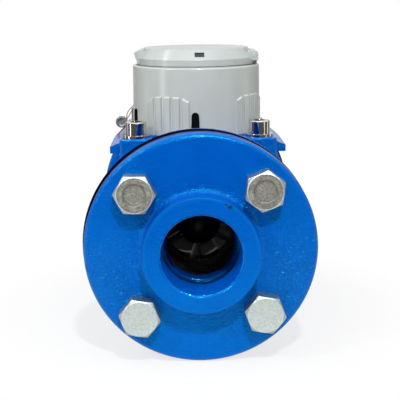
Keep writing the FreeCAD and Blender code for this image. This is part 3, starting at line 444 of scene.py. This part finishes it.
# Zinc plate: colours, spans of its patterns, and bands of a bolt head's depth in shares of its dish
ZINC_LOW = (0.57, 0.63, 0.61, 1.0)
ZINC_WARM = (0.84, 0.92, 0.83, 1.0)
ZINC_COOL = (0.80, 0.92, 0.94, 1.0)
ZINC_SPECK = (0.24, 0.26, 0.26, 1.0)
ZINC_BEVEL = (0.22, 0.24, 0.23, 1.0)
ZINC_FROST = (0.2, 0.65, 0.55, 1.0)
ZINC_DRIFT = (0.38, 0.62)
ZINC_SPECKS = (0.62, 0.70, 0.0, 0.65)
ZINC_ROUGH = (0.38, 0.5)
ZINC_EDGE = 0.35 * MM
ZINC_GRAIN = 0.2 * MM
BEVEL_BAND = (0.1, 0.4)
BEVEL_SHARES = (0.75, 0.35)
CROWN_BAND = (0.7, 1.0)

# Dished crowns: colours, spans, edge, and dark rings with a radius, half a width and a share; the dark
# colours and rings are a painted reflection of the dark surroundings
CROWN_REFLECTION_LOW = (0.15, 0.145, 0.12, 1.0)
CROWN_REFLECTION_HIGH = (0.51, 0.505, 0.45, 1.0)
CROWN_WORN = (0.54, 0.54, 0.49, 1.0)
CROWN_RING_REFLECTION = (0.10, 0.095, 0.08, 1.0)
CROWN_SPECKLE = (0.34, 0.68)
CROWN_WEAR = (0.5, 0.72, 0.0, 0.6)
CROWN_R = (11.7 * MM, 11.9 * MM, 1.0, 0.0)
CROWN_REFLECTION_RINGS = ((7.6 * MM, 1.7 * MM, 0.5), (11.8 * MM, 0.4 * MM, 0.7))
CROWN_RAGGED = 0.25 * MM
CROWN_ROUGH = 0.2


def zinc(name, crowns, head_y, dish):
    # Bright zinc plate with a frosted spangle; the dished crowns are painted darker and speckled, a painted
    # reflection of the dark surroundings, with worn patches and painted dark rings.
    s = Surface(name)
    s.soften(ZINC_EDGE)
    depth = s.along("Y")
    spangle = s.noise(scale=520.0, detail=5.0, rough=0.7)
    grain = s.noise(scale=1500.0, detail=3.0, rough=0.6)

    def band(shares, start, end):
        low, high = (head_y + share * dish for share in shares)
        return s.levels(depth, low, high, start, end)

    tone = s.times(s.levels(spangle, *MOST), s.levels(grain, *ZINC_FROST))
    drift = s.levels(s.noise(scale=100.0, detail=2.0), *ZINC_DRIFT)
    colour = s.blend(tone, ZINC_LOW, s.blend(drift, ZINC_WARM, ZINC_COOL))
    specks = s.levels(s.noise(scale=1300.0, detail=2.0), *ZINC_SPECKS)
    colour = s.blend(specks, colour, ZINC_SPECK)
    bevel = s.times(band(BEVEL_BAND, 0.0, 1.0), s.levels(spangle, *MOST, *BEVEL_SHARES))
    colour = s.blend(bevel, colour, ZINC_BEVEL)
    rough = s.levels(spangle, *MOST, *ZINC_ROUGH)

    speckle = s.levels(s.noise(scale=700.0, detail=6.0, rough=0.75), *CROWN_SPECKLE)
    worn = s.levels(s.noise(scale=170.0, detail=3.0, rough=0.6), *CROWN_WEAR)
    # Painted reflection: the crown is painted dark for the dark surroundings it mirrors; the lighter worn
    # patches are wear.
    reflection_and_wear = s.blend(worn, s.blend(speckle, CROWN_REFLECTION_LOW, CROWN_REFLECTION_HIGH), CROWN_WORN)
    front = band(CROWN_BAND, 1.0, 0.0)
    ragged = s.levels(spangle, *WIDE, -CROWN_RAGGED, CROWN_RAGGED)
    for x, z in crowns:
        reach = s.plus(s.away((x, 0.0, z), ACROSS_FLOW), ragged)
        inside = s.times(s.levels(reach, *CROWN_R), front)
        colour = s.blend(inside, colour, reflection_and_wear)
        # Painted reflection: dark rings on the dish slope and at the crown's edge.
        for ring_r, half, share in CROWN_REFLECTION_RINGS:
            ring = s.levels(s.off(reach, ring_r), 0.0, half, share, 0.0)
            colour = s.blend(s.times(ring, front), colour, CROWN_RING_REFLECTION)
        rough = s.plus(rough, s.times(inside, CROWN_ROUGH))
    s.set(Base_Color=colour, Metallic=1.0, Roughness=rough)
    s.bump(grain, ZINC_GRAIN)
    return s.done()


# Other surfaces: colours, roughness, and the depth of what stands out of them
METAL_EDGE = 0.25 * MM
METAL_LEAST_ROUGH = 0.8
METAL_MOST_ROUGH = 1.25
MARK_DEPTH = 0.004 * MM
MOULDED_DRIFT = 0.02
LINING_LOW = (0.002, 0.002, 0.003, 1.0)
LINING_HIGH = (0.006, 0.006, 0.008, 1.0)
LINING_ROUGH = (0.1, 0.2)
LINING_DEPTH = 4.0 * MM
GLASS_TINT = (0.97, 0.99, 0.985, 1.0)
GLASS_WAVE = 0.004 * MM
LEAD_LOW = srgb(98, 101, 99)
LEAD_HIGH = srgb(150, 153, 149)
LEAD_ROUGH = (0.36, 0.55)
LEAD_DENT = 0.3 * MM
COPPER_LOW = srgb(150, 92, 66)
COPPER_HIGH = srgb(222, 164, 136)
COPPER_ROUGH = (0.28, 0.42)
COPPER_GRAIN = 0.02 * MM


def polished(name, low, high, rough, marks):
    # Turned or plated metal with fine tool marks, stretched as given.
    s = Surface(name)
    s.soften(METAL_EDGE)
    fine = s.noise(scale=900.0, place=s.stretched(*marks))
    s.set(Base_Color=s.blend(s.levels(s.noise(scale=120.0, detail=4.0), *MOST), low, high), Metallic=1.0)
    s.set(Roughness=s.levels(fine, *MOST, rough * METAL_LEAST_ROUGH, rough * METAL_MOST_ROUGH))
    s.bump(fine, MARK_DEPTH)
    return s.done()


def moulded(name, low, high, rough, grain=1100.0, depth=0.004, edge=0.35, gloss=0.5):
    # Moulded plastic, rubber or print with a fine grain; its depth and edge are in millimetres.
    s = Surface(name)
    if edge:
        s.soften(edge * MM)
    tone = s.levels(s.noise(scale=60.0, detail=4.0), *MOST)
    s.set(Base_Color=s.blend(tone, low, high), Specular_IOR_Level=gloss)
    drift = s.noise(scale=20.0, detail=1.0)
    s.set(Roughness=s.levels(drift, *WIDE, rough - MOULDED_DRIFT, rough + MOULDED_DRIFT))
    s.bump(s.noise(scale=grain, detail=2.0), depth * MM)
    return s.done()


def brushed_lining():
    # A thick glossy coating laid on by brush, with runs along the bore.
    s = Surface("black_lining")
    s.set(Base_Color=s.blend(s.noise(scale=90.0), LINING_LOW, LINING_HIGH))
    s.set(Roughness=s.levels(s.noise(scale=300.0), *MOST, *LINING_ROUGH))
    s.bump(s.noise(scale=140.0, detail=4.0, rough=0.6, place=s.stretched(1.0, 0.5, 1.0)), LINING_DEPTH)
    return s.done()


def clear_glass():
    s = Surface("clear_glass")
    s.set(Base_Color=GLASS_TINT, Roughness=0.02, Transmission_Weight=1.0, IOR=1.5)
    s.bump(s.noise(scale=40.0, detail=2.0), GLASS_WAVE)
    return s.done()


def lead_metal():
    # Soft grey metal, dark in its dents.
    s = Surface("lead")
    dents = s.noise(scale=500.0, detail=4.0, rough=0.6)
    s.set(Base_Color=s.blend(s.levels(dents, *MIDDLE), LEAD_LOW, LEAD_HIGH), Metallic=0.5)
    s.set(Roughness=s.levels(dents, *MOST, *LEAD_ROUGH))
    s.bump(dents, LEAD_DENT)
    return s.done()


def copper_strand():
    # Dull copper, browner where the strands were handled.
    s = Surface("copper_wire")
    tone = s.levels(s.noise(scale=500.0, detail=4.0, rough=0.6), *MIDDLE)
    s.set(Base_Color=s.blend(tone, COPPER_LOW, COPPER_HIGH), Metallic=0.8)
    s.set(Roughness=s.levels(s.noise(scale=900.0), *MOST, *COPPER_ROUGH))
    s.bump(s.noise(scale=2500.0, detail=2.0), COPPER_GRAIN)
    return s.done()


METALS = {
    "nickel_steel": dict(low=(0.60, 0.57, 0.53, 1.0), high=(0.74, 0.72, 0.68, 1.0), rough=0.07,
                         marks=(1.0, 1.0, 0.1)),
    "stainless_steel": dict(low=(0.55, 0.56, 0.57, 1.0), high=(0.72, 0.72, 0.73, 1.0), rough=0.22,
                            marks=(1.0, 0.1, 1.0)),
    "brass": dict(low=(0.62, 0.40, 0.14, 1.0), high=(0.80, 0.58, 0.24, 1.0), rough=0.25,
                  marks=(1.0, 1.0, 3.0)),
}
MOULDINGS = {
    "black_rubber": dict(low=(0.003, 0.003, 0.0035, 1.0), high=(0.007, 0.007, 0.008, 1.0), rough=0.85,
                         grain=700.0, depth=0.03, gloss=0.0),
    "black_plastic": dict(low=(0.0025, 0.003, 0.004, 1.0), high=(0.005, 0.006, 0.008, 1.0), rough=0.34,
                          grain=500.0, depth=0.006, gloss=0.3),
    "dark_plastic": dict(low=(0.16, 0.163, 0.162, 1.0), high=(0.22, 0.223, 0.222, 1.0), rough=0.17,
                         grain=500.0, depth=0.006, gloss=1.0),
    "grey_plastic": dict(low=srgb(190, 195, 191), high=srgb(194, 199, 195), rough=0.22, edge=0.5),
    "pale_plastic": dict(low=srgb(184, 191, 189), high=srgb(189, 195, 193), rough=0.2,
                         grain=900.0, depth=0.002),
    "magnet_ferrite": dict(low=(0.03, 0.03, 0.033, 1.0), high=(0.06, 0.06, 0.063, 1.0), rough=0.5),
    "white_dial": dict(low=srgb(232, 232, 228), high=srgb(240, 240, 236), rough=0.5,
                       grain=2000.0, depth=0.002, edge=0.1),
    "red_plastic": dict(low=srgb(186, 22, 18), high=srgb(204, 30, 24), rough=0.3,
                        grain=900.0, depth=0.002, edge=0.1),
    "dial_ink": dict(low=(0.006, 0.006, 0.007, 1.0), high=(0.012, 0.012, 0.013, 1.0), rough=0.45,
                     grain=2000.0, depth=0.001, edge=0.05),
    "window_tint": dict(low=(0.036, 0.038, 0.038, 1.0), high=(0.056, 0.060, 0.060, 1.0), rough=0.4,
                        grain=900.0, depth=0.002, edge=0.0, gloss=0.15),
}
look = {
    "blue_epoxy": blue_epoxy("blue_epoxy", FLANGE_SHEEN),
    "zinc_steel": zinc("zinc_steel", DISHED, HEAD_Y, HEAD_DISH),
    "black_lining": brushed_lining(),
    "clear_glass": clear_glass(),
    "copper_wire": copper_strand(),
    "lead": lead_metal(),
}
look.update((name, polished(name, **row)) for name, row in METALS.items())
look.update((name, moulded(name, **row)) for name, row in MOULDINGS.items())
slot_of = {row["node"]: row["material_slot"] for row in frame["record"]["subparts"]}


def dress(name, material):
    mesh = nodes[name].data
    mesh.materials.clear()
    mesh.materials.append(material)


for name in nodes:
    dress(name, look[slot_of[name]])
dress("meter_body", blue_epoxy("blue_casting", CASTING_SHEEN))
dress("outlet_bolts", zinc("zinc_outlet", [(-x, z) for x, z in DISHED], 2 * CENTRE_Y - HEAD_Y, -HEAD_DISH))


# New pieces

def new_piece(name, points, faces, body, slot, material=None, smooth=True):
    piece = put_mesh(name, points, faces, material or look[slot])
    if smooth:
        piece.data.shade_smooth()
    else:
        piece.data.shade_flat()
    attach(piece, body)
    return piece


def shifted(faces, base):
    return [tuple(base + i for i in face) for face in faces]


def strip_faces(rows, across, closed):
    # Quads over a grid of rows; closed joins the last column to the first.
    faces = []
    columns = across if closed else across - 1
    for row in range(rows - 1):
        for k in range(columns):
            here = row * across + k
            side = row * across + (k + 1) % across
            faces.append((here, side, side + across, here + across))
    return faces


def tube_faces(rows, around, base):
    # The sides of a tube, then the caps on its first and its last row.
    first = tuple(range(base + around - 1, base - 1, -1))
    last = tuple(range(base + (rows - 1) * around, base + rows * around))
    return shifted(strip_faces(rows, around, True), base) + [first, last]


def turned(places):
    # The same places at the outlet, half a turn about the meter's middle.
    return [(-x, 2 * CENTRE_Y - y, z) for x, y, z in places]


def curve_mesh(name, data):
    # A curve or text as a mesh, which the caller removes.
    line = put(name, data)
    bpy.context.view_layer.update()
    mesh = bpy.data.meshes.new_from_object(line.evaluated_get(bpy.context.evaluated_depsgraph_get()))
    bpy.data.objects.remove(line)
    return mesh


# Seal wire and lead seal

def route_points():
    # Points read from the smooth line through the route.
    data = bpy.data.curves.new("wire_line", "CURVE")
    data.dimensions = "3D"
    data.resolution_u = ROUTE_STEPS
    spline = data.splines.new("NURBS")
    spline.points.add(len(WIRE_ROUTE) - 1)
    for point, (x, y, z) in zip(spline.points, WIRE_ROUTE):
        point.co = (x * MM, CENTRE_Y + y * MM, z * MM, 1.0)
    spline.order_u = ROUTE_ORDER
    spline.use_endpoint_u = True
    mesh = curve_mesh("wire_line", data)
    points = [v.co.copy() for v in mesh.vertices]
    bpy.data.meshes.remove(mesh)
    return points


def line_runs(points):
    # The distance along the line at each of its points.
    runs = [0.0]
    for a, b in zip(points, points[1:]):
        runs.append(runs[-1] + (b - a).length)
    return runs


def along_line(points, runs, distance):
    # The place and direction at a distance along the line.
    distance = min(max(distance, 0.0), runs[-1])
    k = 1
    while k < len(runs) - 1 and runs[k] < distance:
        k += 1
    share = (distance - runs[k - 1]) / (runs[k] - runs[k - 1])
    return points[k - 1].lerp(points[k], share), (points[k] - points[k - 1]).normalized()


def beside(place, along, radius, angle):
    # A place off a line, at a radius and an angle about it.
    across = along.cross(Vector((0, -1, 0))).normalized()
    toward = along.cross(across)
    return place + (across * math.cos(angle) + toward * math.sin(angle)) * radius


def strand_centre(points, runs, distance, phase):
    # The strands part in a loop by the can and are twisted from there on.
    place, along = along_line(points, runs, distance)
    loop = runs[-1] * LOOP_SHARE
    if distance < loop:
        swell = math.sin(math.pi * (distance / loop) ** LOOP_LEAN)
        return beside(place, along, STRAND_R + (LOOP_HALF - STRAND_R) * swell, phase)
    angle = phase + 2 * math.pi * (distance - loop) / STRAND_TWIST
    return beside(place, along, STRAND_R * STRAND_APART, angle)


def seal_wire():
    points = route_points()
    runs = line_runs(points)
    places = []
    faces = []
    for phase in (0.0, math.pi):
        faces += tube_faces(WIRE_STEPS + 1, WIRE_AROUND, len(places))
        centres = [strand_centre(points, runs, runs[-1] * k / WIRE_STEPS, phase)
                   for k in range(WIRE_STEPS + 1)]
        for k, centre in enumerate(centres):
            along = (centres[min(k + 1, WIRE_STEPS)] - centres[max(k - 1, 0)]).normalized()
            places += [beside(centre, along, STRAND_R, 2 * math.pi * j / WIRE_AROUND)
                       for j in range(WIRE_AROUND)]
    wire = new_piece("twisted_seal_wire", places, faces, "base", "copper_wire")
    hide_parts("seal_wire")
    return wire, points, runs[-1]


def seal_disc():
    # A crimped lead disc: pressed hollow, rolled rim and dents.
    places = []
    for share, depth in SEAL_RINGS:
        side = SEAL_DENT_ALONG if depth > 0 else -SEAL_DENT_ALONG
        for j in range(SEAL_AROUND):
            angle = 2 * math.pi * j / SEAL_AROUND
            out = Vector((math.cos(angle), 0.0, math.sin(angle)))
            spot = out * (SEAL_R * share) + Vector((0, depth * SEAL_T, 0))
            dent = sum(noise.noise(spot * scale) * deep for scale, deep in SEAL_DENTS)
            spot += out * (dent * share) + Vector((0, dent * side, 0))
            places.append(SEAL_CENTRE + spot)
    faces = strip_faces(len(SEAL_RINGS), SEAL_AROUND, True)
    disc = new_piece("crimped_lead_seal", places, faces, "base", "lead")
    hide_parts("lead_seal")
    return disc


wire, wire_path, wire_length = seal_wire()
tuple(wire_path[0])
[tuple(p) for p in wire_path]
seal_disc()


# Gasket beads

def gasket_beads():
    # Rubber squeezed out between the flanges, most of it at the upper left.
    places = []
    for k in range(BEAD_AROUND):
        angle = 2 * math.pi * k / BEAD_AROUND
        swell = BEAD_LEAST + BEAD_MORE * (0.5 + 0.5 * math.cos(angle - math.radians(BEAD_FULLEST))) ** 2
        for across, rise in BEAD_SECTION:
            r = GASKET_R - BEAD_ROOT + (swell + BEAD_ROOT) * rise
            y = GASKET_Y + across * GASKET_HALF
            places.append((GASKET_X + r * math.cos(angle), y, r * math.sin(angle)))
    strip = strip_faces(BEAD_AROUND + 1, len(BEAD_SECTION), True)
    faces = [tuple(i % len(places) for i in face) for face in strip]
    new_piece("inlet_gasket_bead", places, faces, "base", "black_rubber")
    new_piece("outlet_gasket_bead", turned(places), faces, "base", "black_rubber")


gasket_beads()


# Threads

def helix_ridge(radius, crest, start, end, pitch, x=0.0, z=0.0):
    # A triangular ridge along a helix about the flow direction, from the radius to the crest.
    turns = (end - start - RIDGE_FOOT * pitch) / pitch
    steps = int(turns * RIDGE_STEPS)
    places = []
    for k in range(steps + 1):
        share = k / steps
        angle = 2 * math.pi * turns * share
        y = start + RIDGE_FOOT * pitch / 2 + turns * pitch * share
        fade = min(1.0, share * turns * RIDGE_FADE, (1.0 - share) * turns * RIDGE_FADE)
        top = radius + (crest - radius) * fade
        section = ((radius, -RIDGE_FOOT / 2), (top, -RIDGE_CREST_HALF),
                   (top, RIDGE_CREST_HALF), (radius, RIDGE_FOOT / 2))
        places += [(x + r * math.cos(angle), y + dy * pitch, z + r * math.sin(angle)) for r, dy in section]
    return places, strip_faces(steps + 1, len(section), False)


def threads(inlet_name, outlet_name, ridges, slot):
    # The ridges of the inlet as one piece, and the same at the outlet.
    places = []
    faces = []
    for ridge, ridge_faces in ridges:
        faces += shifted(ridge_faces, len(places))
        places += ridge
    new_piece(inlet_name, places, faces, "base", slot)
    new_piece(outlet_name, turned(places), faces, "base", slot)


pipe_ridge = helix_ridge(PIPE_THREAD_R + RIDGE_SINK, PIPE_THREAD_R - PIPE_THREAD_H,
                         PIPE_THREAD_START, PIPE_THREAD_END, PIPE_PITCH)
bolt_ridges = [helix_ridge(BOLT_R - RIDGE_SINK, BOLT_R + BOLT_THREAD_H,
                           NUT_END_Y + NUT_GAP, BOLT_END_Y - BOLT_TIP, BOLT_THREAD_PITCH, x, z)
               for x, z in BOLT_PLACES]
threads("inlet_pipe_thread", "outlet_pipe_thread", [pipe_ridge], "blue_epoxy")
threads("inlet_bolt_threads", "outlet_bolt_threads", bolt_ridges, "zinc_steel")


# Register: plugs in the base slots, the pane in the lid's window and caps over the hinge pin

def about_register(points, angle):
    # Points given across, outward and up, turned about the register's axis; zero faces the inlet.
    turn = math.radians(angle)
    return [(u * math.cos(turn) + r * math.sin(turn), CENTRE_Y + u * math.sin(turn) - r * math.cos(turn), z)
            for u, r, z in points]


def plug_row(inset, out):
    # The outline of a plug: its foot and an arch over it.
    foot = SLOT_FOOT_HALF - SLOT_PLAY - inset
    foot_z = SLOT_FOOT_Z + SLOT_PLAY + inset
    head = SLOT_TOP_HALF - SLOT_PLAY - inset
    shoulder = SLOT_FOOT_Z + SLOT_H - SLOT_TOP_HALF
    r = PLUG_ROOT_R + out
    turns = [math.pi * k / PLUG_AROUND for k in range(PLUG_AROUND + 1)]
    arch = [(-head * math.cos(turn), r, shoulder + head * math.sin(turn)) for turn in turns]
    return [(-foot, r, foot_z)] + arch + [(foot, r, foot_z)]


def slot_plugs():
    # Black plugs that fill the slots and stand a little proud, with a rounded front edge.
    rows = [plug_row(inset, out) for inset, out in PLUG_RINGS]
    places = []
    faces = []
    for angle in SLOT_ANGLES:
        faces += tube_faces(len(rows), len(rows[0]), len(places))
        for row in rows:
            places += about_register(row, angle)
    new_piece("base_slot_plugs", places, faces, "base", "black_rubber", smooth=False)


def window_pane():
    # A dark pane behind the lid's window, lying along the slope.
    places = []
    for depth in (0.0, PANE_T):
        for j in range(PANE_ROWS):
            z = PANE_LOW_Z + (PANE_HIGH_Z - PANE_LOW_Z) * j / (PANE_ROWS - 1)
            r = LID_EDGE_R - (z - LID_EDGE_Z) * LID_SLOPE_IN - PANE_SINK - depth
            places += [(PANE_HALF * (2 * k / (PANE_COLUMNS - 1) - 1), r, z) for k in range(PANE_COLUMNS)]
    behind = PANE_ROWS * PANE_COLUMNS
    top_row = behind - PANE_COLUMNS
    front = strip_faces(PANE_ROWS, PANE_COLUMNS, False)
    back = [face[::-1] for face in shifted(front, behind)]
    rim = list(range(PANE_COLUMNS)) + [j * PANE_COLUMNS + PANE_COLUMNS - 1 for j in range(1, PANE_ROWS)]
    rim += [top_row + k for k in reversed(range(PANE_COLUMNS - 1))]
    rim += [j * PANE_COLUMNS for j in reversed(range(1, PANE_ROWS - 1))]
    sides = [(b, a, a + behind, b + behind) for a, b in zip(rim, rim[1:] + rim[:1])]
    new_piece("lid_window_pane", about_register(places, PANE_TURN), front + back + sides,
              "lid", "dark_plastic", look["window_tint"], smooth=False)


def hinge_caps():
    # Shallow domes in the lid's plastic over both ends of the hinge pin; each closes in a point.
    places = []
    faces = []
    for side in (-1, 1):
        faces += tube_faces(len(HINGE_CAP_RINGS), HINGE_CAP_AROUND, len(places))[:-1]
        for share, rise in HINGE_CAP_RINGS:
            r = HINGE_CAP_R * share
            y = CENTRE_Y + side * (HINGE_END + HINGE_CAP_T * rise)
            for k in range(HINGE_CAP_AROUND):
                angle = side * 2 * math.pi * k / HINGE_CAP_AROUND
                places.append((HINGE_X + r * math.cos(angle), y, HINGE_Z + r * math.sin(angle)))
    new_piece("hinge_pin_caps", places, faces, "lid", "pale_plastic")


slot_plugs()
window_pane()
hinge_caps()


# Register face: printed ticks and numbers, and the numbers on the drums

def glyph(text, size):
    # The faces of a number as flat polygons, centred, of a given font size.
    data = bpy.data.curves.new("glyph", "FONT")
    data.body = text
    data.align_x = "CENTER"
    data.align_y = "CENTER"
    data.size = size
    data.resolution_u = GLYPH_STEPS
    mesh = curve_mesh("glyph", data)
    shape = bmesh.new()
    shape.from_mesh(mesh)
    bpy.data.meshes.remove(mesh)
    bmesh.ops.triangulate(shape, faces=shape.faces[:])
    for axis in ((0, 1, 0), (1, 0, 0)):
        for step in GLYPH_CUTS:
            bmesh.ops.bisect_plane(shape, geom=shape.verts[:] + shape.edges[:] + shape.faces[:],
                                   plane_co=Vector(axis) * step * size, plane_no=axis)
    shape.verts.index_update()
    heights = [v.co.y for v in shape.verts]
    middle = (min(heights) + max(heights)) / 2
    points = [(v.co.x, v.co.y - middle) for v in shape.verts]
    faces = [tuple(v.index for v in f.verts) for f in shape.faces]
    shape.free()
    return points, faces


def on_dial(x, y):
    # How ink is laid on the dial, about a point of it.
    return lambda u, v: (x + u, y + v, DIAL_TOP + INK)


def on_drum(x, start):
    # How ink is wrapped about a drum, from an angle on.
    def place(u, v):
        angle = start + v / DRUM_PRINT_R
        return x + u, DRUM_Y + DRUM_PRINT_R * math.sin(angle), DRUM_Z + DRUM_PRINT_R * math.cos(angle)
    return place


class Print:
    # Thin ink collected into one piece.
    def __init__(self):
        self.places = []
        self.faces = []

    def lay(self, points, faces, place):
        self.faces += shifted(faces, len(self.places))
        self.places += [place(u, v) for u, v in points]

    def bar(self, x, y, angle, inner, outer, half):
        # A tick that points away from the centre of a scale.
        out = Vector((math.sin(angle), math.cos(angle)))
        side = Vector((out.y, -out.x)) * half
        corners = [out * inner - side, out * inner + side, out * outer + side, out * outer - side]
        self.lay(corners, [(0, 1, 2, 3)], on_dial(x, y))

    def piece(self, name, body):
        new_piece(name, self.places, self.faces, body, "black_plastic", look["dial_ink"], smooth=False)


def dial_print():
    ink = Print()
    digits = [glyph(str(k), HAND_NUMBER_SIZE) for k in range(10)]
    for hand in HAND_ANGLES:
        turn = math.radians(hand)
        x = HAND_CIRCLE * math.sin(turn)
        y = CENTRE_Y - HAND_CIRCLE * math.cos(turn)
        for k in range(HAND_TICKS):
            angle = 2 * math.pi * k / HAND_TICKS
            if k % HAND_LONG_EVERY == 0:
                ink.bar(x, y, angle, *HAND_LONG_TICK)
                spot = on_dial(x + HAND_NUMBER_R * math.sin(angle), y + HAND_NUMBER_R * math.cos(angle))
                ink.lay(*digits[k // HAND_LONG_EVERY], spot)
            else:
                ink.bar(x, y, angle, *HAND_SHORT_TICK)
    for k in range(RIM_TICKS):
        tick = RIM_LONG_TICK if k % RIM_LONG_EVERY == 0 else RIM_SHORT_TICK
        ink.bar(0.0, CENTRE_Y, 2 * math.pi * k / RIM_TICKS, *tick)
    border = [(sx * (WINDOW_HALF_X + wide), sy * (WINDOW_HALF_Y + wide)) for wide in (BORDER_IN, BORDER_OUT)
              for sx, sy in ((-1, -1), (1, -1), (1, 1), (-1, 1))]
    ink.lay(border, [(k, 4 + k, 4 + (k + 1) % 4, (k + 1) % 4) for k in range(4)], on_dial(0.0, DRUM_Y))
    ink.piece("dial_print", "base")


def drum_print(name, drums, body):
    ink = Print()
    digits = [glyph(str(k), DRUM_NUMBER_SIZE) for k in range(10)]
    for drum in drums:
        x = (drum - DRUM_COUNT / 2 + 0.5) * DRUM_PITCH
        for k, digit in enumerate(digits):
            ink.lay(*digit, on_drum(x, -2 * math.pi * k / len(digits)))
    ink.piece(name, body)


dial_print()
drum_print("drum_numbers", range(DRUM_COUNT - 1), "base")
drum_print("first_drum_numbers", [DRUM_COUNT - 1], "counter")


# Stage: floor, world, lamps and the dark side of the room

WHITE = (1.0, 1.0, 1.0, 1.0)
MATT = (0.86, 0.86, 0.86, 1.0)
PALE = (0.74, 0.75, 0.76, 1.0)
BEIGE = (0.24, 0.21, 0.18, 1.0)
DARK = (0.10, 0.10, 0.10, 1.0)
SKY_LOW = 0.06
SKY_HIGH = 0.60
FLOOR_HALF = 0.45
FLOOR_GLOW = (0.10, 0.22, 0.75, 1.0)
CARD_HALF = 0.9
CARD_FRONT = -1.6
CARD_BACK = -0.40
CARD_Z = FLOOR_Z + 0.004
ROOM_R = 1.6
ROOM_FOOT = -0.40
ROOM_TOP = 0.80
WALL_STEPS = 12

# Walls of the room: from and to an angle about the meter, and a tone
WALLS = ((-56.0, 48.0, DARK), (60.0, 92.0, DARK), (104.0, 152.0, BEIGE), (152.0, 208.0, PALE),
         (208.0, 256.0, BEIGE), (266.0, 294.0, DARK))

# Lamps: name, azimuth, elevation, distance, width, height, watts and what they aim at
FRONT = (0.0, FACE_Y, 0.02)
LAMPS = (("key", 8.0, 50.0, 1.4, 0.07, 0.07, 13.0, FRONT),
         ("left", -55.0, 38.0, 1.4, 0.07, 0.14, 4.6, FRONT),
         ("overhead", 20.0, 78.0, 1.3, 0.9, 0.9, 1.6, FRONT),
         ("front", -4.0, 17.0, 1.0, 0.05, 0.05, 0.55, FRONT),
         ("right", 62.0, 22.0, 1.4, 0.7, 0.7, 0.9, FRONT),
         ("window", -63.0, -4.0, 1.4, 0.04, 0.7, 1.3, (0.0, CENTRE_Y, 0.10)),
         ("tube", -88.0, 53.0, 1.4, 0.03, 0.30, 1.0, (0.0, CENTRE_Y, 0.13)))


def seen_directly(tree):
    # One where the camera, a mirror or glass looks straight at the surface.
    path = add(tree, "ShaderNodeLightPath").outputs
    seen = number(tree, "MAXIMUM", path["Is Camera Ray"], path["Is Glossy Ray"])
    return number(tree, "MAXIMUM", seen, path["Is Transmission Ray"])


def make_world():
    # Plain white to the eye; as a light it is brighter overhead than at the horizon.
    world = bpy.data.worlds.new("studio")
    tree = cleared(world)
    height = add(tree, "ShaderNodeSeparateXYZ", Vector=add(tree, "ShaderNodeTexCoord").outputs["Generated"])
    sky = map_range(tree, height.outputs["Z"], 0.0, 1.0, SKY_LOW, SKY_HIGH)
    strength = map_range(tree, seen_directly(tree), 0.0, 1.0, sky, 1.0)
    show(tree, add(tree, "ShaderNodeBackground", Color=WHITE, Strength=strength), "ShaderNodeOutputWorld")
    bpy.context.scene.world = world


def level_corners(half, front, back, z):
    return [(-half, front, z), (half, front, z), (half, back, z), (-half, back, z)]


def make_floor():
    # White to the eye, fading to plain matt white near the meter so that its shadow shows there.
    material = bpy.data.materials.new("pale_floor")
    tree = cleared(material)
    place = add(tree, "ShaderNodeTexCoord").outputs["Object"]
    far = vector(tree, "DISTANCE", place, (0.0, CENTRE_Y, FLOOR_Z), result="Value")
    glow = map_range(tree, far, *FLOOR_GLOW, settings={"interpolation_type": "SMOOTHSTEP"})
    share = number(tree, "MULTIPLY", seen_directly(tree), glow)
    matt = add(tree, "ShaderNodeBsdfDiffuse", Color=MATT)
    white = add(tree, "ShaderNodeEmission", Color=WHITE, Strength=1.0)
    both = add(tree, "ShaderNodeMixShader")
    for socket, value in zip(both.inputs, (share, matt.outputs[0], white.outputs[0])):
        tree.links.new(value, socket)
    show(tree, both)
    corners = level_corners(FLOOR_HALF, CENTRE_Y - FLOOR_HALF, CENTRE_Y + FLOOR_HALF, FLOOR_Z)
    floor = put_mesh("floor", corners, [(0, 1, 2, 3)], material)


def make_card(name, corners, faces, tone):
    # A panel that only mirrors see.
    material = bpy.data.materials.new(name)
    tree = cleared(material)
    show(tree, add(tree, "ShaderNodeEmission", Color=tone, Strength=1.0))
    card = put_mesh(name, corners, faces, material)
    card.visible_camera = False
    card.visible_diffuse = False
    card.visible_shadow = False
    card.visible_transmission = False


def make_wall(name, start, end, tone):
    # A wall of the room, an arc about the meter; bright gaps are left between some walls.
    corners = []
    for z in (ROOM_FOOT, ROOM_TOP):
        for k in range(WALL_STEPS + 1):
            turn = math.radians(start + (end - start) * k / WALL_STEPS)
            corners.append((ROOM_R * math.sin(turn), CENTRE_Y - ROOM_R * math.cos(turn), z))
    make_card(name, corners, strip_faces(2, WALL_STEPS + 1, False), tone)


def area_lamp(name, azimuth, elevation, distance, width, height, watts, aim):
    out = outward(azimuth, elevation)
    data = bpy.data.lights.new(name, "AREA")
    data.shape = "RECTANGLE"
    data.size = width
    data.size_y = height
    data.energy = watts
    lamp = put(name, data)
    lamp.location = Vector(aim) + out * distance
    lamp.rotation_mode = "QUATERNION"
    lamp.rotation_quaternion = (-out).to_track_quat("-Z", "Y")


make_world()
make_floor()
make_card("dark_floor_card", level_corners(CARD_HALF, CARD_FRONT, CARD_BACK, CARD_Z), [(0, 1, 2, 3)], DARK)
for count, wall in enumerate(WALLS):
    make_wall(f"wall_{count}", *wall)
for lamp in LAMPS:
    area_lamp(*lamp)
bpy.context.scene.view_settings.view_transform = "Standard"
